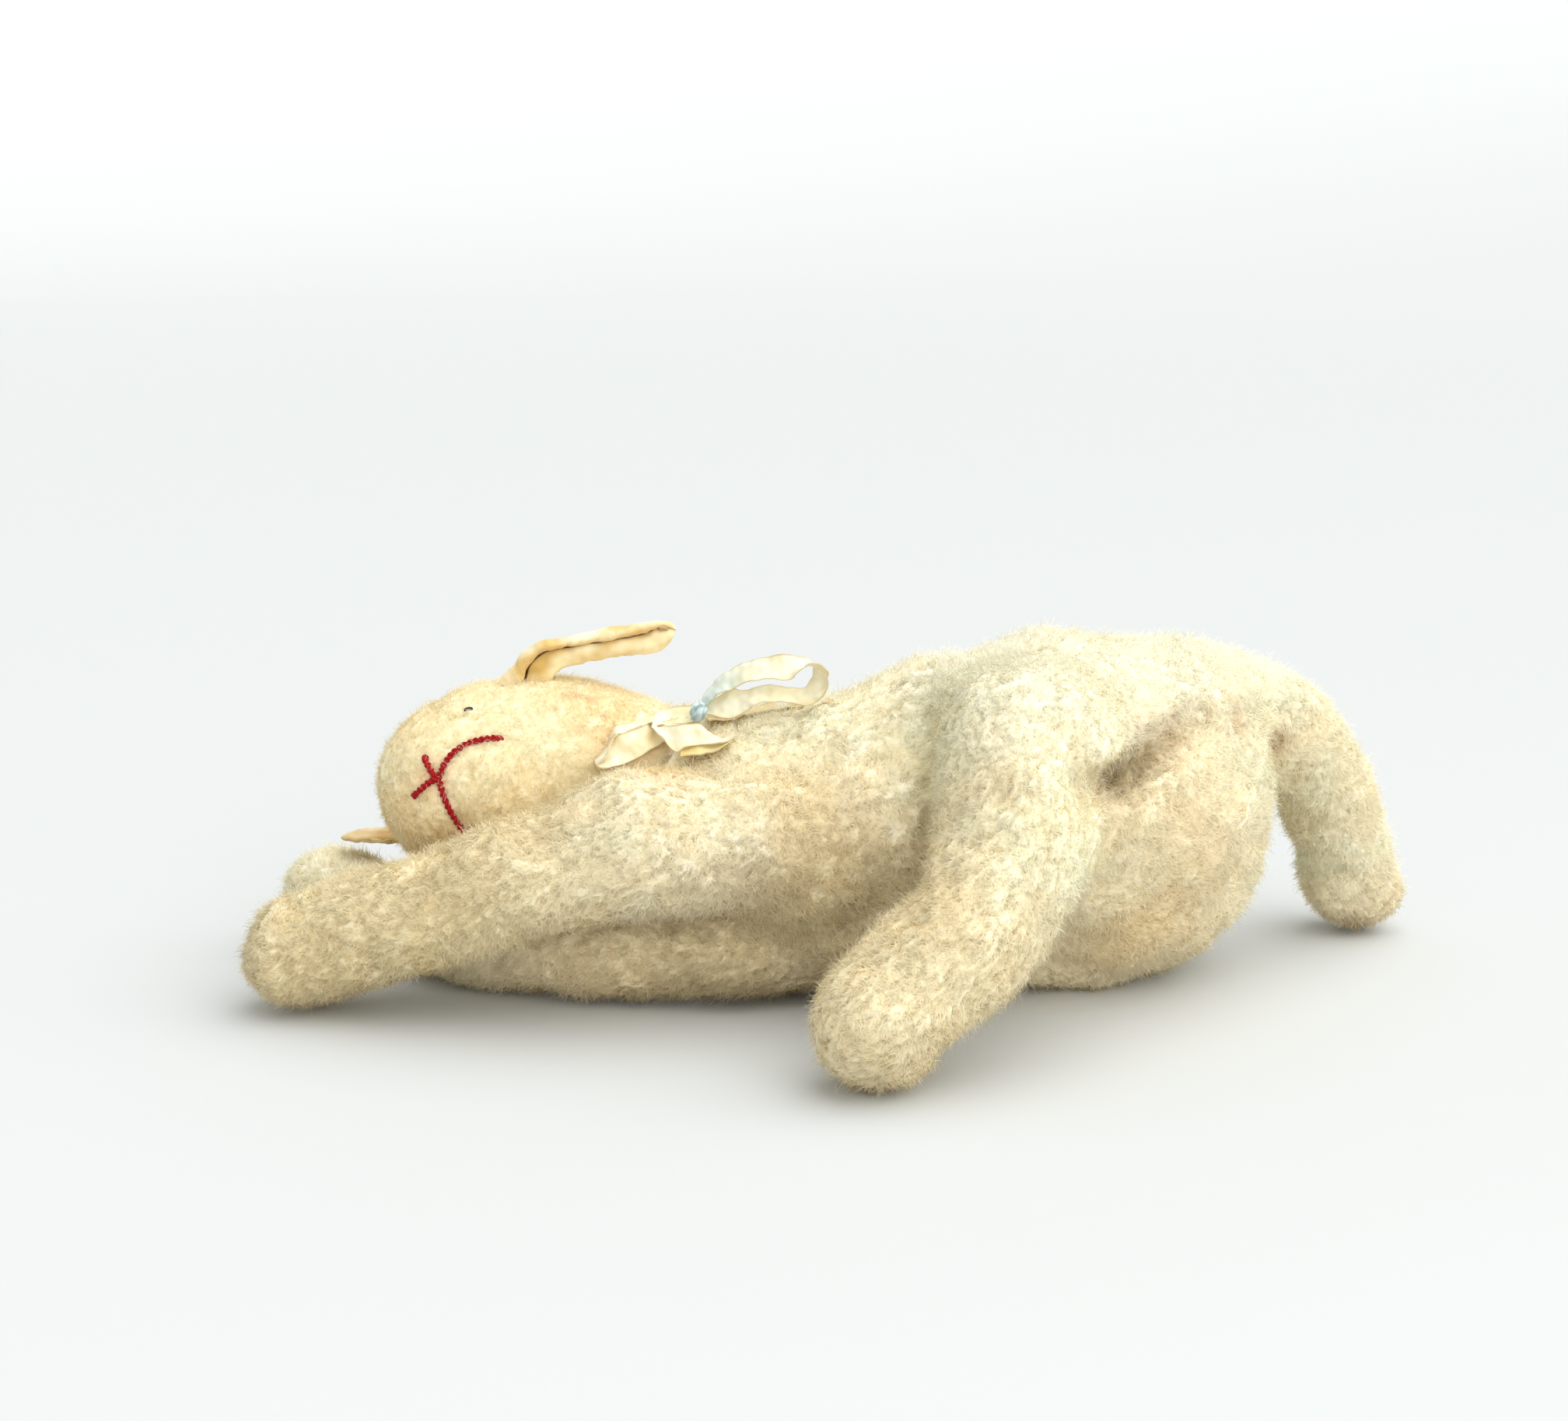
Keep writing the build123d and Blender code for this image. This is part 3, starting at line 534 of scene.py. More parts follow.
TINTS = {    # where a part is duller or yellower, in places painted shade: middle, reach, and what it does to the colour
    # the head's second entry darkens the chin: painted shade under the head
    "head": [((-100, 47, 75), 90, (1.0, 0.955, 0.86)), ((-112, 20, 44), 24, (0.93, 0.87, 0.74))],
    # the near arm is partly soiled and partly darkened with painted shade on its camera-facing side
    "left_arm": [((-130, -6, 36), 74, (0.93, 0.895, 0.79))],
    "left_leg": [((44, -70, 34), 44, (0.955, 0.935, 0.87))],
    "right_leg": [((219, 97, 22), 14, (0.90, 0.86, 0.76))],
    # the torso's second entry is painted shade low under the near arm
    "torso": [((10, 0, 40), 40, (0.97, 0.945, 0.88)), ((-30, 10, 10), 40, (0.92, 0.88, 0.80))],
    # painted shade: the far arm lies under the near arm
    "right_arm": [((-40, 5, 20), 60, (0.90, 0.86, 0.78))],
}
CREAM = (255, 247, 223)
AGED = (247, 231, 192)

# real stains, and marks of painted shade where noted: middle, reach, colour, strength
STAINS_AND_PAINTED_SHADE = [
    (px(1440, 1180, 10), 20, (232, 204, 138), 0.5),
    # painted shade: these three marks darken the fold under the rump's overhang
    (hit(1505, 952, whole) + np.array([0, 7, 0]), 7, (186, 152, 80), 0.6),
    (hit(1468, 978, whole) + np.array([0, 7, 0]), 8, (150, 122, 58), 0.8),
    (hit(1432, 1003, whole) + np.array([0, 7, 0]), 8, (150, 122, 58), 0.8),
    (px(1500, 1060, 10), 28, (236, 216, 168), 0.35),
    
    # painted shade on the lower chest and far arm under the near arm
    (px(950, 1240, 0), 40, (214, 200, 164), 0.45),
    (px(1080, 1130, -12), 24, (220, 200, 152), 0.45),
    # darker and browner at the far foot's tip
    (px(1743, 1180, 92), 8, (196, 172, 120), 0.7),
    # painted shade in the creases at the far hind leg's root
    (hit(1592, 922, whole), 5, (206, 168, 104), 0.6),
    (hit(1643, 950, whole), 4.5, (196, 158, 94), 0.6),
    (px(300, 1230, -6), 16, (224, 212, 184), 0.4),
    (px(850, 975, 0), 14, (236, 206, 140), 0.35),
    (px(551, 1000, 14), 5.5, (246, 176, 130), 0.6),
    (px(780, 905, 22), 16, (246, 214, 158), 0.45),
    (px(1390, 1165, -20), 1.6, (214, 120, 40), 0.8),
    (px(1570, 1088, 0), 1.4, (214, 120, 40), 0.7),
]

def subdivided(ob, levels=1):
    # the mesh of ob with subdivision applied, as arrays in millimetres
    m = ob.modifiers.new("subdivide", "SUBSURF")
    m.levels = m.render_levels = levels
    dg = bpy.context.evaluated_depsgraph_get()
    me = bpy.data.meshes.new_from_object(ob.evaluated_get(dg))
    V = np.zeros(len(me.vertices) * 3)
    me.vertices.foreach_get("co", V)
    V = V.reshape(-1, 3) / MM + SHIFT
    Q = np.zeros(len(me.loops), int)
    me.loops.foreach_get("vertex_index", Q)
    bpy.data.meshes.remove(me)
    return V, Q.reshape(-1, 4)


def quad_normals(V, Q):
    n = np.cross(V[Q[:, 2]] - V[Q[:, 0]], V[Q[:, 3]] - V[Q[:, 1]])
    vn = np.zeros_like(V)
    for i in range(4):
        np.add.at(vn, Q[:, i], n)
    return unit(vn)


def unit(v):
    return v / np.maximum(np.linalg.norm(v, axis=1), 1e-9)[:, None]


def flow_at(P, name, i):
    # which way the pile lies
    T = tangent_of(CHAINS[name], P)
    if name == "head":
        T = T * 0 + np.array([1.0, 0.1, -0.15])
    if name == "torso":
        T = T + np.array([0, 0, -0.6])
    return unit(unit(T) * 0.8 + WaveVec(50 + i, 38)(P) * 0.45 + WaveVec(60 + i, 14)(P) * 0.3)


def tangent_of(chain, P):
    c = smooth_chain(chain)
    m = (c[:-1, :3] + c[1:, :3]) / 2
    t = unit(c[1:, :3] - c[:-1, :3])
    d = np.stack([np.linalg.norm(P - q, axis=1) for q in m], 1)
    return t[np.argmin(d, 1)]


def tufts(P, T, i, size=8.0):
    # depth of the furrows between matted tufts, drawn out along the pile
    S = P - 0.45 * T * (P * T).sum(1)[:, None]
    S = S + WaveVec(80 + i, 16)(P) * 1.2
    a = Waves(70 + i, size)(S)
    b = Waves(90 + i, size * 0.5)(S)
    return np.exp(-(a / 0.42) ** 2), np.exp(-(b / 0.42) ** 2)


skins = {}
for i, (name, (lo, hi, h)) in enumerate(BODIES.items()):
    field = FIELDS[name]
    V, Q = surface(field, lo, hi, h)
    V = relax(V, Q, 2)
    V = to_surface(V, field, 2)
    V[:, 2] = np.maximum(V[:, 2], 0.6)
    coarse = make_mesh(name + "_coarse", V, Q, [BACKING])
    V, Q = subdivided(coarse, 1)
    bpy.data.objects.remove(coarse)
    N = quad_normals(V, Q)
    T = tangent_of(CHAINS[name], V)
    f1, f2 = tufts(V, T, i, 6.0 if name == "head" else 7.5)
    amp = 0.45 if name == "head" else 1.0
    V = V - N * (amp * (1.25 * f1 + 0.7 * f2 - 0.7))[:, None]
    V[:, 2] = np.maximum(V[:, 2], 0.5)
    ob = make_mesh(name + "_skin", V, Q, [BACKING])
    # painted shade: the colour is darker in the furrows between tufts
    c = colour_at(V, name) * (1.0 - 0.08 * f1 - 0.05 * f2)[:, None]
    paint(ob, "fur", c)
    skins[name] = (ob, V, Q)


# ------------------------------------------------------------------ cloth, yarn and ribbon
def cloth_material(name, rgb, rough=0.85, bump_scale=900.0, vary=0.06, sheen=0.2, attribute=None, depth=0.0002):
    m, n, l = nodes_of(name)
    out = n.new("ShaderNodeOutputMaterial")
    p = n.new("ShaderNodeBsdfPrincipled")
    p.inputs["Roughness"].default_value = rough
    p.inputs["Specular IOR Level"].default_value = 0.25
    p.inputs["Sheen Weight"].default_value = sheen
    p.inputs["Sheen Tint"].default_value = (1.0, 0.97, 0.9, 1)
    tc = n.new("ShaderNodeTexCoord")
    noise = n.new("ShaderNodeTexNoise")
    noise.inputs["Scale"].default_value = bump_scale
    noise.inputs["Detail"].default_value = 3.0
    l.new(tc.outputs["Object"], noise.inputs["Vector"])
    patch = n.new("ShaderNodeTexNoise")
    patch.inputs["Scale"].default_value = 60.0
    l.new(tc.outputs["Object"], patch.inputs["Vector"])
    add = n.new("ShaderNodeMath")
    add.operation = "ADD"
    l.new(noise.outputs["Fac"], add.inputs[0])
    l.new(patch.outputs["Fac"], add.inputs[1])
    ramp = n.new("ShaderNodeMapRange")
    ramp.inputs["From Max"].default_value = 2.0
    ramp.inputs["To Min"].default_value = 1 - 2 * vary
    ramp.inputs["To Max"].default_value = 1 + 2 * vary
    l.new(add.outputs[0], ramp.inputs["Value"])
    mul = n.new("ShaderNodeVectorMath")
    mul.operation = "SCALE"
    if attribute:
        a = n.new("ShaderNodeAttribute")
        a.attribute_name = attribute
        l.new(a.outputs["Color"], mul.inputs[0])
    else:
        mul.inputs[0].default_value = tuple(lin(*rgb))
    l.new(ramp.outputs["Result"], mul.inputs["Scale"])
    l.new(mul.outputs["Vector"], p.inputs["Base Color"])
    b = n.new("ShaderNodeBump")
    b.inputs["Strength"].default_value = 0.6
    b.inputs["Distance"].default_value = depth
    l.new(noise.outputs["Fac"], b.inputs["Height"])
    l.new(b.outputs[0], p.inputs["Normal"])
    l.new(p.outputs[0], out.inputs[0])
    return m


KNIT = cloth_material("worn_knit", None, 0.9, 1600, 0.05, 0.25, "fur", 0.00025)
LINING = cloth_material("cotton_lining", None, 0.85, 2200, 0.05, 0.15, "fur", 0.00015)
RIBBON = cloth_material("rayon_ribbon", None, 0.55, 2600, 0.03, 0.35, "fur", 0.00008)
YARN = cloth_material("red_yarn", (158, 7, 15), 0.85, 1800, 0.16, 0.06)
THREAD = cloth_material("eye_thread", (52, 48, 50), 0.7, 1500, 0.12, 0.1)


def spline(pts, n):
    # a smooth line through points of any width, at n even steps
    c = np.asarray(pts, float)
    p = np.vstack([2 * c[0] - c[1], c, 2 * c[-1] - c[-2]])
    out = []
    for i in range(1, len(p) - 2):
        for t in np.arange(12) / 12:
            a, b, d, e = p[i - 1], p[i], p[i + 1], p[i + 2]
            out.append(0.5 * ((2 * b) + (-a + d) * t + (2 * a - 5 * b + 4 * d - e) * t * t
                              + (-a + 3 * b - 3 * d + e) * t ** 3))
    out.append(c[-1])
    out = np.array(out)
    s = np.concatenate([[0], np.cumsum(np.linalg.norm(np.diff(out[:, :3], axis=0), axis=1))])
    return np.stack([np.interp(np.linspace(0, s[-1], n), s, out[:, k]) for k in range(out.shape[1])], 1)


def grid_faces(nu, nv, wrap_u=False, wrap_v=False):
    i, j = np.meshgrid(np.arange(nu if wrap_u else nu - 1), np.arange(nv if wrap_v else nv - 1), indexing="ij")
    a = i * nv + j
    b = ((i + 1) % nu) * nv + j
    c = ((i + 1) % nu) * nv + (j + 1) % nv
    d = i * nv + (j + 1) % nv
    return np.stack([a, b, c, d], -1).reshape(-1, 4)


def tube(name, path, radius, mat, sides=8, twist=None):
    # a closed tube with rounded ends along a smooth line; twist=(turns, offset) makes two plies
    n = len(path)
    T = unit(np.gradient(path, axis=0))
    ref = np.array([0.0, 0.0, 1.0])
    A = unit(np.cross(T, ref[None] + 0 * T))
    B = np.cross(T, A)
    V, F = [], []
    plies = [0.0] if twist is None else [0.0, math.pi]
    for ph in plies:
        C = path
        if twist is not None:
            th = np.linspace(0, 2 * math.pi * twist[0], n) + ph
            C = path + twist[1] * (A * np.cos(th)[:, None] + B * np.sin(th)[:, None])
        r = radius * np.sqrt(np.clip(1 - np.maximum(0, 1 - np.minimum(np.arange(n), np.arange(n)[::-1]) / 3.0) ** 2, 0.05, 1))
        ang = np.arange(sides) * 2 * math.pi / sides
        ring = C[:, None] + r[:, None, None] * (A[:, None] * np.cos(ang)[None, :, None] + B[:, None] * np.sin(ang)[None, :, None])
        base = sum(len(v) for v in V)
        V.append(ring.reshape(-1, 3))
        f = grid_faces(n, sides, False, True) + base
        F.append(f)
        for row, flip in ((0, False), (n - 1, True)):
            o = base + row * sides
            for q in range(1, sides - 2, 2):
                f4 = [o, o + q, o + q + 1, o + q + 2]
                F.append(np.array([f4 if not flip else f4[::-1]]))
    return make_mesh(name, np.vstack(V), np.vstack(F), [mat])


def strip(name, near, far, mat, colour, thick=0.38, n=120, m=11, ripple=0.25, seed=0, curl=0.0):
    # a closed thin ribbon between two edge lines; returns it and the length of its centre line
    a, b = np.asarray(near, float), np.asarray(far, float)
    both = spline(np.hstack([(a + b) / 2, a, b]), n)
    A, B = both[:, 3:6], both[:, 6:9]
    t = np.linspace(0, 1, m)
    mid = A[:, None] * (1 - t)[None, :, None] + B[:, None] * t[None, :, None]
    T = np.gradient(mid, axis=0)
    S = np.repeat((B - A)[:, None], m, 1)
    N = unit(np.cross(T.reshape(-1, 3), S.reshape(-1, 3)))
    P = mid.reshape(-1, 3)
    wob = ripple * (Waves(300 + seed, 9)(P) + 0.5 * Waves(310 + seed, 4.5)(P)) + curl * (np.tile(t, n) - 0.5) ** 2 * 4
    P = P + N * wob[:, None]
    P[:, 2] = np.maximum(P[:, 2], 1.0)
    top, bottom = P + N * thick / 2, P - N * thick / 2
    Q = grid_faces(n, m)
    off = n * m
    F = [Q, Q[:, ::-1] + off]
    i = np.arange(n - 1)
    F.append(np.stack([i * m, i * m + off, (i + 1) * m + off, (i + 1) * m], 1)[:, ::-1] * 1)
    F.append(np.stack([i * m + m - 1, (i + 1) * m + m - 1, (i + 1) * m + m - 1 + off, i * m + m - 1 + off], 1)[:, ::-1] * 1)
    j = np.arange(m - 1)
    F.append(np.stack([j, j + 1, j + 1 + off, j + off], 1)[:, ::-1] * 1)
    k = (n - 1) * m
    F.append(np.stack([k + j, k + j + off, k + j + 1 + off, k + j + 1], 1)[:, ::-1] * 1)
    ob = make_mesh(name, np.vstack([top, bottom]), np.vstack(F), [mat])
    c = colour(P, np.tile(t, n), np.repeat(np.linspace(0, 1, n), m))
    edge = np.exp(-((0.5 - np.abs(np.tile(t, n) - 0.5)) / 0.045) ** 2)[:, None]
    c = c * (1 - 0.55 * edge) + lin(206, 176, 112) * 0.55 * edge
    paint(ob, "fur", np.vstack([c, c]))
    return ob, np.linalg.norm(np.diff(both[:, :3], axis=0), axis=1).sum()


def head_surface(P):
    return FIELDS["head"](P)


def any_surface(P):
    return np.min([FIELDS[k](P) for k in ("torso", "head", "left_arm")], axis=0)


def sew(name, pts, mat, radius, lift, turns_mm=None, ply=0.0, depth=2.4, sides=8):
    # a stitch over the face: it comes up out of the cloth, runs over it and goes back in
    path = np.array([hit(u, v, head_surface) for u, v in pts])
    path = spline(path, max(16, int(14 * len(pts))))
    N = gradient(head_surface, path)
    s = np.linspace(0, 1, len(path))
    rise = np.minimum(1, np.minimum(s, 1 - s) / 0.10)
    path = path + N * (lift * rise - depth * (1 - rise) ** 2)[:, None]
    length = np.linalg.norm(np.diff(path, axis=0), axis=1).sum()
    path = spline(path, max(24, int(length * 3)))
    tw = None if turns_mm is None else (length / turns_mm, ply)
    return tube(name, path, radius, mat, sides, tw), path


stitches = {}
for node, pts in {
    "mouth_stitch_left": [(564, 1000), (569, 991), (575, 979), (587, 966), (605, 956), (626.5, 951), (649, 949.5)],
    "mouth_stitch_right": [(563, 999), (568, 1010), (572, 1024), (582, 1045), (597, 1066), (613, 1078)],
    "nose_stitch_left": [(546.5, 973), (552, 984), (558, 995), (566, 1001)],
    "nose_stitch_right": [(533, 1024.5), (543, 1015), (555, 1005), (567, 998)],
}.items():
    wide = 0.74 if node.startswith("mouth") else 0.80
    stitches[node] = sew("yarn_" + node, pts, YARN, wide, 1.15 if node != "nose_stitch_right" else 1.5, 4.2, 0.52)
for node, pts in {"eye_stitch_left": [(597.5, 913.5), (602, 912.3), (607.5, 911.5)],
                  "eye_stitch_right": [(545.5, 1108), (548, 1107), (550.5, 1106)]}.items():
    stitches[node] = sew("thread_" + node, pts, THREAD, 0.42, 0.7, None, 0.0, 1.2, 6)
YARN_PATHS = np.vstack([p for _, p in stitches.values()])

# ------------------------------------------------------------------ ears
def ear_point(x, y, depth):
    # points read on an enlarged view of the ear
    return px(440 + x / 2.306, 760 + y / 2.306, depth)


EAR = [  # top, rim and lower edge of the folded ear, and how deep the fold is
    ((466, 268), (530, 300), (556, 304), 0.7), ((495, 228), (541, 262), (606, 270), 0.9),
    ((530, 184), (557, 216), (640, 238), 1.0), ((575, 153), (600, 176), (672, 219), 1.0),
    ((640, 140), (662, 163), (708, 212), 1.0), ((720, 125), (735, 151), (762, 203), 1.0),
    ((800, 108), (810, 140), (828, 194), 1.0), ((880, 93), (885, 124), (892, 189), 1.0),
    ((938, 87), (938, 104), (938, 176), 0.8), ((972, 94), (973, 106), (968, 156), 0.55),
    ((988, 110), (988, 114), (984, 130), 0.2),
]
EAR_Y = 45.0


def ear_curves():
    knit, lining = [], []
    for (tx, ty), (gx, gy), (bx, by), d in EAR:
        T, G, B = (np.array(ear_point(a, b, EAR_Y)) for a, b in ((tx, ty), (gx, gy), (bx, by)))
        y = np.array([0, 1.0, 0])
        outer = [G - 3.2 * d * y, (T + G) / 2 - 4.3 * d * y, T - 1.4 * d * y, T * 0.86 + B * 0.14 + 4.5 * d * y,
                 T * 0.5 + B * 0.5 + 8.5 * d * y, T * 0.14 + B * 0.86 + 7.2 * d * y, B + 3.0 * d * y]
        front = [G + 0.04 * (B - G) - 2.0 * d * y, G + 0.35 * (B - G) - 3.3 * d * y, G + 0.7 * (B - G) - 3.0 * d * y,
                 B - 0.6 * d * y, B + 1.8 * d * y]
        mid = (T + B) / 2 + 2.0 * d * y
        knit.append((spline(outer, 34), mid, d))
        lining.append((spline(front, 22), mid, d))
    return knit, lining


def shell_from(curves, name, mat, thick, n, colour, knit=0.0, seed=0):
    # a closed cloth layer from cross curves; its inner side lies towards each section's middle
    C = np.array([c for c, _, _ in curves])
    M = np.array([m for _, m, _ in curves])
    D = np.array([[d] for _, _, d in curves])
    k = C.shape[1]
    flat = np.hstack([M, C.reshape(len(C), -1), D])
    fine = spline(flat, n)
    M, C, D = fine[:, :3], fine[:, 3:-1].reshape(n, k, 3), fine[:, -1:]
    P = C.reshape(-1, 3)
    inward = np.repeat(M, k, 0) - P
    size = np.linalg.norm(inward, axis=1)
    N = -unit(np.cross(np.gradient(C, axis=0).reshape(-1, 3), np.gradient(C, axis=1).reshape(-1, 3)))
    N = N * np.sign((N * inward).sum(1))[:, None]          # inwards
    s = np.concatenate([[0], np.cumsum(np.linalg.norm(np.diff(M, axis=0), axis=1))])
    w = np.concatenate([np.zeros((n, 1)), np.cumsum(np.linalg.norm(np.diff(C, axis=1), axis=2), axis=1)], 1)
    S = np.repeat(s, k)
    rows = np.sin(2 * math.pi * S / 1.5) * np.cos(2 * math.pi * w.ravel() / 1.9 + math.pi * np.floor(S / 1.5))
    wob = 0.28 * Waves(400 + seed, 12)(P) + 0.14 * Waves(410 + seed, 5)(P)
    out = P - N * (knit * rows + wob)[:, None]
    t = np.minimum(thick, 0.35 * size)
    inner = P + N * t[:, None]
    loop = np.concatenate([out.reshape(n, k, 3), inner.reshape(n, k, 3)[:, ::-1]], 1)
    kk = 2 * k
    Q = grid_faces(n, kk, False, True)
    F = [Q]
    V = loop.reshape(-1, 3)
    caps = []
    for row in (0, n - 1):
        for j in range(k - 1):
            a, b, c, d = row * kk + j, row * kk + j + 1, row * kk + kk - 2 - j, row * kk + kk - 1 - j
            caps.append([a, b, c, d] if row else [d, c, b, a])
    F.append(np.array(caps))
    ob = make_mesh(name, V, np.vstack(F), [mat])
    u = np.concatenate([np.tile(np.linspace(0, 1, k), (n, 1)), np.tile(np.linspace(1, 0, k), (n, 1))], 1).ravel()
    c = colour(V, u, np.repeat(np.linspace(0, 1, n), kk))
    # painted light and shade: the knit's raised rows are lighter and its hollows darker
    if knit:
        ridge_light_and_shade = np.concatenate([rows.reshape(n, k), np.zeros((n, k))], 1).ravel()
        c = c * (1 + 0.07 * ridge_light_and_shade)[:, None]
    paint(ob, "fur", np.clip(c, 0, 0.97))
    G = out.reshape(n, k, 3)
    area_mm2 = np.linalg.norm(np.cross((G[1:, :-1] - G[:-1, :-1]).reshape(-1, 3),
                                       (G[:-1, 1:] - G[:-1, :-1]).reshape(-1, 3)), axis=1).sum()
    return ob, area_mm2, s[-1]


def mixed(a, b, k):
    k = np.clip(k, 0, 1)[:, None]
    return lin(*a) * (1 - k) + lin(*b) * k


def knit_colour(P, u, v):
    wear = 0.35 + 0.3 * Waves(420, 14)(P) + 0.5 * np.exp(-(u / 0.10) ** 2) + 0.5 * np.exp(-(v / 0.16) ** 2)
    return mixed((247, 233, 196), (218, 182, 114), wear)


def lining_colour(P, u, v):
    return mixed((243, 226, 180), (206, 168, 96), 0.25 + 0.25 * Waves(430, 12)(P) + 0.75 * np.exp(-(v / 0.26) ** 2)
                 + 0.35 * np.exp(-(u / 0.14) ** 2))


knit_curves, lining_curves = ear_curves()
left_knit, left_knit_area, left_knit_run = shell_from(knit_curves, "left_ear_knit", KNIT, 1.5, 150, knit_colour, 0.13, 1)
left_lining, left_lining_area, left_lining_run = shell_from(lining_curves, "left_ear_cotton", LINING, 1.1, 120, lining_colour, 0.0, 2)


def flat_ear(upper):
    # the other ear lies nearly flat on the far paw
    out = []
    prof = [(-112, 5.5, 46.2, 1.6), (-120, 7.5, 46.0, 1.9), (-130, 10.2, 45.6, 2.1), (-140, 11.6, 45.0, 2.2), (-150, 11.6, 44.4, 2.2),
            (-158, 10.0, 43.9, 2.1), (-164, 7.0, 43.4, 1.9), (-167, 4.0, 43.1, 1.4), (-168.4, 1.2, 43.0, 0.6)]
    for x, half, z, h in prof:
        y0 = 76.5 + 1.5 * math.sin((x + 112) / 18)
        arc = []
        for a in np.linspace(0, math.pi, 9):
            dz = h * math.sin(a) ** 0.7 if 0 < a < math.pi else 0.0
            arc.append(np.array([x, y0 - half * math.cos(a), z + (dz if upper else -0.9 * dz) + 0.02 * half * math.cos(a) * 4]))
        out.append((spline(arc, 26), np.array([x, y0, z + (-0.3 if upper else 0.3)]), 1.0))
    return out


right_knit, right_knit_area, right_knit_run = shell_from(flat_ear(True), "right_ear_knit", KNIT, 1.2, 110,
                                            lambda P, u, v: knit_colour(P, u, v) * np.array([0.80, 0.72, 0.60]), 0.12, 3)
right_lining, right_lining_area, right_lining_run = shell_from(flat_ear(False), "right_ear_cotton", LINING, 1.0, 90,
                                                lambda P, u, v: lining_colour(P, u, v) * 0.85, 0.0, 4)

# ------------------------------------------------------------------ ribbon
RIBBON_WIDE = 10.5


def ribbon_edges(stations, lift=None, depth=None):
    # stations are (far x, far y, near x, near y, width, extra) on an enlarged view of the bow
    far, near = [], []
    for fx, fy, nx, ny, wide, extra in stations:
        uf, vf, un, vn = 740 + fx / 4.356, 820 + fy / 4.356, 740 + nx / 4.356, 820 + ny / 4.356
        if depth is not None:
            y = depth + extra
        else:
            y = hit((uf + un) / 2, (vf + vn) / 2, whole)[1]
            y = min(max(y, -14), 40) - lift - extra
        F0, N0 = px(uf, vf, y), px(un, vn, y)
        dy = math.sqrt(max(0.0, wide ** 2 - float(((F0 - N0) ** 2).sum())))
        far.append(px(uf, vf, y + dy / 2))
        near.append(px(un, vn, y - dy / 2))
    return near, far


def ribbon_colour(base, aged, blue=0.0, seed=0):
    def f(P, t, s):
        c = mixed(base, aged, 0.35 + 0.3 * Waves(500 + seed, 16)(P) + 0.15 * Waves(510 + seed, 5)(P))
        if blue:
            k = (blue * np.exp(-(s / 0.20) ** 2))[:, None]
            c = c * (1 - k) + lin(190, 208, 204) * k
        return c
    return f


PALE, TAN = (238, 231, 204), (222, 208, 164)
loop_upper = strip("ribbon_loop_upper", *ribbon_edges([
    (700, 374, 728, 398, 3.0, 0), (742, 290, 792, 326, 7.0, 0), (850, 186, 876, 282, 9.8, 0), (960, 132, 978, 240, 10.5, 0),
    (1080, 102, 1098, 226, 10.5, 0), (1196, 92, 1192, 236, 10.5, 0), (1286, 118, 1270, 186, 10.5, 0),
    (1330, 148, 1340, 150, 10.5, 0), (1330, 188, 1392, 174, 10.5, -0.5), (1320, 228, 1417, 222, 10.5, -1),
    (1296, 264, 1411, 286, 10.5, -1.5), (1250, 283, 1374, 346, 10.5, -2), (1180, 278, 1290, 384, 10.5, -2),
    (1098, 262, 1196, 362, 10.5, -2), (1010, 278, 1100, 362, 10.5, -1.5), (940, 290, 1010, 378, 10.5, -1.5),
    (880, 287, 936, 422, 10.5, -1), (822, 312, 872, 450, 10.5, -1), (772, 348, 800, 446, 8.0, -0.5), (730, 396, 742, 424, 3.5, 0)],
    depth=26.0), RIBBON, ribbon_colour(PALE, TAN, 0.9, 1), n=230, m=13, ripple=0.3, seed=1)
loop_lower = strip("ribbon_loop_lower", *ribbon_edges([
    (640, 420, 640, 470, 5.0, 1.0), (520, 462, 540, 560, 8.5, 1.5), (435, 480, 482, 588, 10.0, 2.0), (360, 502, 420, 628, 10.5, 3.0),
    (290, 528, 350, 670, 10.5, 4.0), (236, 546, 290, 698, 10.5, 5.0), (203, 590, 222, 722, 10.5, 5.5),
    (150, 645, 160, 732, 10.5, 5.5), (106, 694, 116, 716, 10.5, 5.0), (146, 642, 172, 656, 10.5, 4.0),
    (192, 576, 214, 594, 10.5, 3.0), (213, 505, 238, 546, 10.5, 2.0), (262, 478, 276, 530, 10.5, 1.5),
    (330, 443, 338, 506, 10.5, 1.0), (380, 412, 402, 480, 10.5, 0.8), (450, 425, 462, 480, 8.5, 0.8), (600, 410, 600, 452, 5.0, 0.8)],
    lift=1.6), RIBBON, ribbon_colour((234, 226, 196), (216, 196, 142), 0.0, 2), n=210, m=13, ripple=0.3, seed=2)
flap = strip("ribbon_tail_flap", *ribbon_edges([
    (690, 380, 690, 468, 6.5, 4.5), (640, 380, 645, 478, 8.5, 4.2), (580, 390, 590, 482, 9.6, 4.0), (520, 402, 520, 485, 10.2, 4.0),
    (452, 425, 432, 500, 10.5, 4.2), (442, 455, 440, 512, 10.5, 5.6), (470, 492, 478, 552, 9.8, 6.6),
    (560, 489, 560, 636, 10.5, 6.4), (640, 483, 618, 612, 9.8, 6.0), (700, 484, 690, 602, 9.0, 5.6), (752, 532, 745, 594, 7.0, 5.2),
    (804, 562, 804, 586, 6.0, 5.0), (850, 552, 852, 576, 6.0, 5.0), (884, 522, 890, 536, 5.0, 5.0)],
    lift=0.6), RIBBON, ribbon_colour(PALE, (228, 214, 170), 0.0, 3), n=170, m=13, ripple=0.16, seed=3)
tail_under = strip("ribbon_tail_under", *ribbon_edges([
    (600, 590, 585, 664, 10.5, 2.4), (690, 590, 690, 652, 10.5, 2.4), (780, 585, 782, 634, 10.5, 2.4), (868, 566, 868, 584, 9.0, 2.4)],
    lift=0.4), RIBBON, ribbon_colour((232, 214, 150), (216, 190, 110), 0.0, 4), n=60, m=11, ripple=0.2, seed=4)
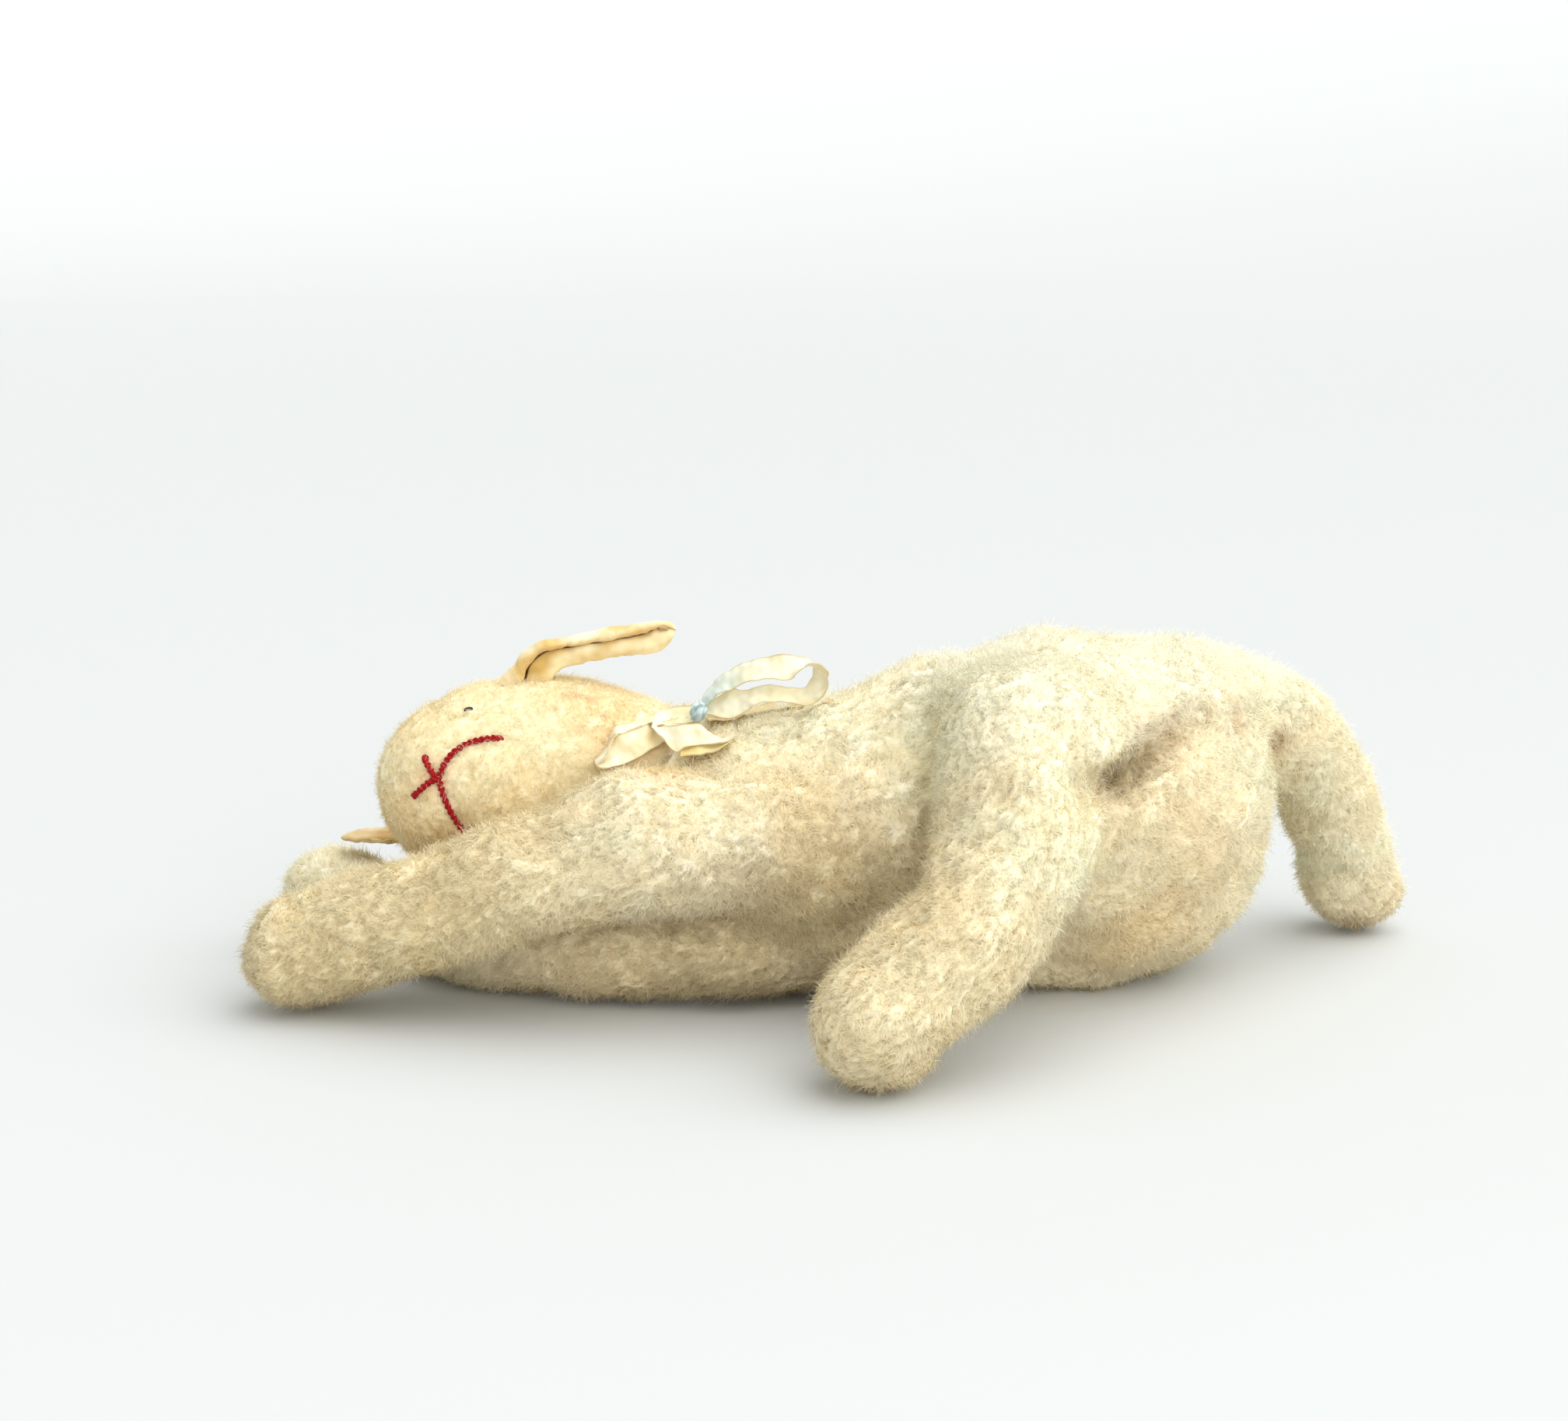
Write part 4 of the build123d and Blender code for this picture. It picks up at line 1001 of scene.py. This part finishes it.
tail_long = strip("ribbon_tail_long", *ribbon_edges([
    (735, 440, 745, 470, 7.0, 1.2), (820, 440, 826, 462, 10.0, 1.2), (905, 424, 910, 448, 10.5, 1.4), (1000, 386, 1006, 424, 10.5, 1.6),
    (1090, 366, 1095, 408, 10.5, 1.6), (1162, 388, 1166, 402, 10.5, 1.4), (1230, 372, 1238, 390, 10.5, 1.4),
    (1330, 360, 1336, 374, 10.5, 1.2), (1446, 344, 1448, 354, 10.5, 1.0)],
    lift=0.6), RIBBON, ribbon_colour((222, 204, 152), (206, 176, 112), 0.0, 5), n=130, m=11, ripple=0.3, seed=5)


def collar():
    c, nrm = np.array([-35.6, 41.2, 75.8]), np.array([0.86, -0.24, -0.45])
    nrm = nrm / np.linalg.norm(nrm)
    a = np.cross(nrm, [0, 1.0, 0.0])
    a /= np.linalg.norm(a)
    b = np.cross(nrm, a)
    th = np.linspace(0, 2 * math.pi, 140, endpoint=False)
    ring = c + 30 * (np.cos(th)[:, None] * a + np.sin(th)[:, None] * b)
    f = lambda P: np.minimum(FIELDS["torso"](P), FIELDS["head"](P))
    rad = np.full(len(th), 30.0)
    d = unit(ring - c)
    for _ in range(8):
        rad = rad - 0.8 * (f(c + d * rad[:, None]) - 0.5)
    rad = np.clip(rad, 24, 31)
    for _ in range(6):
        rad = (np.roll(rad, 1) + rad + np.roll(rad, -1)) / 3
    mid = c + d * rad[:, None]
    near, far = mid - nrm * 3.4, mid + nrm * 3.4
    n, m = len(th), 7
    t = np.linspace(0, 1, m)
    G = near[:, None] * (1 - t)[None, :, None] + far[:, None] * t[None, :, None]
    G = G + d[:, None] * 0.3 * Waves(520, 7)(G.reshape(-1, 3)).reshape(n, m, 1)
    P = G.reshape(-1, 3)
    out, inn = P + np.repeat(d, m, 0) * 0.2, P - np.repeat(d, m, 0) * 0.2
    loop = np.concatenate([out.reshape(n, m, 3), inn.reshape(n, m, 3)[:, ::-1]], 1).reshape(-1, 3)
    ob = make_mesh("ribbon_round_neck", loop, grid_faces(n, 2 * m, True, True), [RIBBON])
    paint(ob, "fur", mixed(PALE, TAN, 0.4 + 0.3 * Waves(521, 14)(loop)))
    length = np.linalg.norm(np.roll(mid, 1, 0) - mid, axis=1).sum()
    return ob, length


round_neck = collar()


def knot():
    c = px(898.5, 916.0, 23.0)
    n, m = 72, 64
    th = np.arange(n) * 2 * math.pi / n
    ph = (np.arange(m) + 0.5) / m * math.pi
    T, H = np.meshgrid(th, ph, indexing="ij")
    x = np.sign(np.cos(T)) * np.abs(np.cos(T)) ** 0.9 * np.sin(H) ** 0.75
    y = np.sign(np.sin(T)) * np.abs(np.sin(T)) ** 0.9 * np.sin(H) ** 0.75
    z = np.sign(np.cos(H)) * np.abs(np.cos(H)) ** 0.8
    pleat = 0.05 * np.sin(5 * x + 1.1 * z + 0.8) + 0.035 * np.sin(11 * x - 2 * z)
    groove = -0.12 * np.exp(-((x - 0.62 + 0.25 * z) / 0.12) ** 2) - 0.10 * np.exp(-((x + 0.66 - 0.2 * z) / 0.12) ** 2)
    P = np.stack([x * 2.9, y * 3.1, z * 3.7], -1) * (1 + pleat + groove)[..., None]
    tilt = math.radians(-24)
    P = np.stack([P[..., 0] * math.cos(tilt) - P[..., 2] * math.sin(tilt), P[..., 1],
                  P[..., 0] * math.sin(tilt) + P[..., 2] * math.cos(tilt)], -1)
    V = np.vstack([c + P.reshape(-1, 3), c + P[:, 0].mean(0), c + P[:, -1].mean(0)])
    Q = [tuple(q) for q in grid_faces(n, m, True, False)]
    o = n * m
    Q += [((i + 1) % n * m, i * m, o) for i in range(n)]
    Q += [(i * m + m - 1, (i + 1) % n * m + m - 1, o + 1) for i in range(n)]
    me = bpy.data.meshes.new("ribbon_knot_wrap")
    me.from_pydata([tuple(v) for v in W(V)], [], [tuple(int(a) for a in q) for q in Q])
    me.polygons.foreach_set("use_smooth", [True] * len(Q))
    me.materials.append(RIBBON)
    ob = bpy.data.objects.new("ribbon_knot_wrap", me)
    bpy.context.scene.collection.objects.link(ob)
    # painted shade: the ribbon darkens in the knot's grooves
    g = np.append(groove.ravel(), [0, 0])
    w = 0.3 + 0.3 * Waves(530, 4)(V) - 6 * g
    paint(ob, "fur", mixed((196, 216, 222), (140, 158, 150), w))
    return ob


knot_wrap = knot()

# ------------------------------------------------------------------ pile
def scatter(V, Q, per_mm2, seed, keep=None):
    # seeded points over a quad mesh, with smooth normals
    T = np.vstack([Q[:, [0, 1, 2]], Q[:, [0, 2, 3]]])
    a, b, c = V[T[:, 0]], V[T[:, 1]], V[T[:, 2]]
    fn = np.cross(b - a, c - a)
    area = np.linalg.norm(fn, axis=1) / 2
    vn = np.zeros_like(V)
    for i in range(3):
        np.add.at(vn, T[:, i], fn)
    vn /= np.maximum(np.linalg.norm(vn, axis=1), 1e-9)[:, None]
    r = np.random.default_rng(SEED * 77 + seed)
    n = int(area.sum() * per_mm2)
    pick = np.searchsorted(np.cumsum(area) / area.sum(), r.random(n))
    pick = np.minimum(pick, len(T) - 1)
    u, v = r.random(n), r.random(n)
    f = u + v > 1
    u[f], v[f] = 1 - u[f], 1 - v[f]
    w = 1 - u - v
    P = a[pick] * w[:, None] + b[pick] * u[:, None] + c[pick] * v[:, None]
    N = vn[T[pick, 0]] * w[:, None] + vn[T[pick, 1]] * u[:, None] + vn[T[pick, 2]] * v[:, None]
    N /= np.linalg.norm(N, axis=1)[:, None]
    if keep is not None:
        m = keep(P)
        P, N = P[m], N[m]
    return P, N, r


def pile(name, P, N, flow, r, length, width, lift, colours):
    # short fine fibres, each a narrow bent blade of five points
    n = len(P)
    flow = flow - N * (flow * N).sum(1)[:, None]
    B = unit(flow)
    side = unit(np.cross(N, B))
    where, ident, d1, d2 = cells(P + r.normal(0, 0.5, P.shape), 3.4, 5)
    turn = (ident - 0.5) * 1.1 + r.normal(0, 0.55, n)
    B = unit(B * np.cos(turn)[:, None] + side * np.sin(turn)[:, None])
    side = unit(np.cross(N, B))
    fly = r.random(n) < 0.16                     # fibres that have worked loose
    L = length * r.uniform(0.6, 1.15, n) * np.where(fly, 1.25, 1.0)
    up = lift * r.uniform(0.6, 1.4, n) * np.where(fly, 1.9, 1.0)
    bend = r.normal(0, 0.22, n)
    C0 = P - N * 0.3
    C1 = P + N * (L * up * 0.75)[:, None] + B * (L * 0.38)[:, None] + side * (L * bend * 0.5)[:, None]
    C2 = P + N * (L * up)[:, None] + B * (L * 0.86)[:, None] - side * (L * bend)[:, None]
    ww = width * r.uniform(0.7, 1.3, n) * np.where(fly, 0.6, 1.0)
    w0 = unit(np.cross(C1 - C0, N) + 0.3 * r.normal(0, 1, (n, 3)))
    w1 = unit(np.cross(C2 - C1, N) + 0.3 * r.normal(0, 1, (n, 3)))
    verts = np.stack([C0 - w0 * (ww / 2)[:, None], C0 + w0 * (ww / 2)[:, None],
                      C1 - w1 * (ww * 0.42)[:, None], C1 + w1 * (ww * 0.42)[:, None], C2], 1)
    tri = np.array([[0, 1, 3], [0, 3, 2], [2, 3, 4]])
    F = (np.arange(n)[:, None, None] * 5 + tri[None]).reshape(-1, 3)
    V = verts.reshape(-1, 3)
    V[:, 2] = np.maximum(V[:, 2], 0.15)
    ob = make_mesh(name, V, F, [FUR])
    nt = unit(N + 0.2 * B + r.normal(0, 0.16, (n, 3)))
    ob.data.normals_split_custom_set_from_vertices(np.repeat(nt, 5, 0).tolist())
    # painted shade at the roots: each fibre darkens towards its root and lightens towards its tip
    painted_root_shade = np.array([0.97, 0.97, 1.01, 1.01, 1.03])
    lock = (0.985 + 0.03 * ident + r.normal(0, 0.022, n))[:, None, None]
    col = np.clip(colours[:, None, :] * painted_root_shade[None, :, None] * lock, 0, 0.975)
    paint(ob, "fur", col.reshape(-1, 3))
    uv = ob.data.uv_layers.new(name="OFBake")
    base = (P - P.min(0)) / (P.max(0) - P.min(0) + 1e-6)
    atlas = np.stack([base[:, 0] * 0.98 + 0.01,
                      np.where(N[:, 1] < 0, base[:, 2] * 0.48 + 0.01, base[:, 2] * 0.48 + 0.51)], 1)
    uv.data.foreach_set("uv", np.repeat(atlas, 9, 0).astype(np.float32).ravel())
    return ob


def showing(name):
    # roots that no other part of the toy covers
    others = [n for n in ROOTS] if name == "torso" else ["torso"]

    def f(P):
        m = P[:, 2] > 1.0
        for o in others:
            lo, hi, h = BODIES[o]
            near = m & np.all((P > np.array(lo)) & (P < np.array(hi)), axis=1)
            if near.any():
                k = np.nonzero(near)[0]
                m[k[FIELDS[o](P[k]) < -0.35]] = False
        if name == "head":
            k = np.nonzero(m & (P[:, 0] < -85))[0]
            if len(k):
                d = np.min(np.linalg.norm(P[k][:, None] - YARN_PATHS[None, ::4], axis=2), axis=1)
                m[k[d < 1.3]] = False
        return m
    return f


PER_PIECE = 62000
PLAN = {   # length, width, lift, fibres to a square millimetre
    "torso": (4.6, 0.25, 0.36, 2.1),
    "head": (3.8, 0.19, 0.30, 2.7),
    "left_arm": (4.3, 0.24, 0.36, 2.1),
    "right_arm": (4.3, 0.24, 0.36, 2.1),
    "left_leg": (4.3, 0.24, 0.36, 2.1),
    "right_leg": (4.3, 0.24, 0.36, 2.1),
}
furs = []
for i, (name, (length, width, lift, dense)) in enumerate(PLAN.items()):
    ob, V, Q = skins[name]
    P, N, r = scatter(V, Q, dense, i, showing(name))
    order = np.argsort(P[:, 0], kind="stable")
    P, N = P[order], N[order]
    flow, col = flow_at(P, name, i), colour_at(P, name)
    pieces = int(math.ceil(len(P) / PER_PIECE))
    for j, part in enumerate(np.array_split(np.arange(len(P)), pieces)):
        tag = name + "_pile" + ("" if pieces == 1 else "_%d" % (j + 1))
        furs.append((pile(tag, P[part], N[part], flow[part], r, length, width, lift, col[part]), name))

REPLACES = {
    "torso": ["torso_back_panel", "torso_belly_panel", "torso_stuffing"],
    "head": ["head_left_panel", "head_right_panel", "head_stuffing"],
    "left_arm": ["left_arm_upper_panel", "left_arm_lower_panel", "left_arm_stuffing"],
    "right_arm": ["right_arm_upper_panel", "right_arm_lower_panel", "right_arm_stuffing"],
    "left_leg": ["left_leg_outer_panel", "left_leg_inner_panel", "left_leg_stuffing"],
    "right_leg": ["right_leg_outer_panel", "right_leg_inner_panel", "right_leg_stuffing"],
}
for name, (ob, V, Q) in skins.items():
    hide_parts(*REPLACES[name])
    if name == "torso":
        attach(ob, "torso")
    else:
        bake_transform(ob)
for ob, name in furs:
    if name == "torso":
        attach(ob, "torso")
    else:
        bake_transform(ob)

for node, (ob, path) in stitches.items():
    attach(ob, "head")
    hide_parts(node)

for side, knit_ob, knit_area, knit_run, cotton_ob, cotton_area, cotton_run in (
        ("left", left_knit, left_knit_area, left_knit_run, left_lining, left_lining_area, left_lining_run),
        ("right", right_knit, right_knit_area, right_knit_run, right_lining, right_lining_area, right_lining_run)):
    for ob, mm2, run, node, slot in ((knit_ob, knit_area, knit_run, side + "_ear_back", "ear_knit"),
                                     (cotton_ob, cotton_area, cotton_run, side + "_ear_lining", "ear_lining")):
        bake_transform(ob)
        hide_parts(node)

for (ob, run), node, wide in ((loop_upper, "bow_loop_upper", RIBBON_WIDE), (loop_lower, "bow_loop_lower", RIBBON_WIDE),
                              (flap, "bow_tail_short", RIBBON_WIDE), (tail_under, None, RIBBON_WIDE),
                              (tail_long, "bow_tail_long", RIBBON_WIDE), (round_neck, "ribbon_collar", RIBBON_WIDE)):
    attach(ob, "torso")
    if node:
        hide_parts(node)
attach(knot_wrap, "torso")
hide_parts("bow_knot")

# ------------------------------------------------------------------ stage and light
def stage_bowl():
    prof = [(0.0, 0.0), (4.4, 0.0)]
    for a in range(5, 71, 5):
        prof.append((4.4 + 1.6 * math.sin(math.radians(a)), 1.6 - 1.6 * math.cos(math.radians(a))))
    n = 96
    V, F = [(0, 0, 0)], []
    for k, (rad, z) in enumerate(prof[1:]):
        V += [(rad * math.cos(2 * math.pi * j / n), rad * math.sin(2 * math.pi * j / n), z) for j in range(n)]
    for j in range(n):
        F.append((0, 1 + j, 1 + (j + 1) % n))
    for k in range(len(prof) - 2):
        a, b = 1 + k * n, 1 + (k + 1) * n
        for j in range(n):
            F.append((a + j, b + j, b + (j + 1) % n, a + (j + 1) % n))
    me = bpy.data.meshes.new("studio")
    me.from_pydata(V, [], F)
    me.polygons.foreach_set("use_smooth", [True] * len(F))
    ob = bpy.data.objects.new("studio", me)
    bpy.context.scene.collection.objects.link(ob)
    m, n_, l = nodes_of("studio_paper")
    out = n_.new("ShaderNodeOutputMaterial")
    p = n_.new("ShaderNodeBsdfPrincipled")
    p.inputs["Base Color"].default_value = (0.57, 0.58, 0.577, 1)
    p.inputs["Roughness"].default_value = 0.7
    p.inputs["Specular IOR Level"].default_value = 0.2
    p.inputs["Emission Color"].default_value = (0.98, 1.0, 0.99, 1)
    tc = n_.new("ShaderNodeTexCoord")
    xyz = n_.new("ShaderNodeSeparateXYZ")
    l.new(tc.outputs["Object"], xyz.inputs[0])
    rise = n_.new("ShaderNodeMapRange")
    rise.inputs["From Max"].default_value = 0.7
    rise.inputs["To Max"].default_value = 0.34
    l.new(xyz.outputs["Z"], rise.inputs["Value"])
    l.new(rise.outputs["Result"], p.inputs["Emission Strength"])
    l.new(p.outputs[0], out.inputs[0])
    me.materials.append(m)
    return ob


stage_bowl()


def area(name, loc, target, size, power, colour=(1, 1, 1)):
    d = bpy.data.lights.new(name, "AREA")
    d.shape = "RECTANGLE"
    d.size, d.size_y = size
    d.energy = power
    d.color = colour
    o = bpy.data.objects.new(name, d)
    bpy.context.scene.collection.objects.link(o)
    o.location = loc
    o.rotation_euler = (Vector(target) - Vector(loc)).to_track_quat("-Z", "Y").to_euler()
    return o


key = bpy.data.lights.new("overhead", "SUN")
key.energy = 2.6
key.angle = math.radians(80)
key.color = (1.0, 0.995, 0.985)
key_ob = bpy.data.objects.new("overhead", key)
bpy.context.scene.collection.objects.link(key_ob)
key_ob.rotation_euler = Vector((0.48, -0.06, 1.0)).to_track_quat("Z", "Y").to_euler()
area("front_fill", (0.9, -1.75, 0.75), (0.04, 0, 0.06), (1.6, 1.1), 13.0, (0.99, 1.0, 1.0))
world = bpy.data.worlds.new("studio_air")
bpy.context.scene.world = world
world.use_nodes = True
bg = world.node_tree.nodes["Background"]
bg.inputs[0].default_value = (0.93, 0.965, 0.96, 1)
bg.inputs[1].default_value = 0.80
bpy.context.scene.cycles.diffuse_bounces = 8
bpy.context.scene.view_settings.view_transform = "Standard"
bpy.context.scene.view_settings.look = "None"
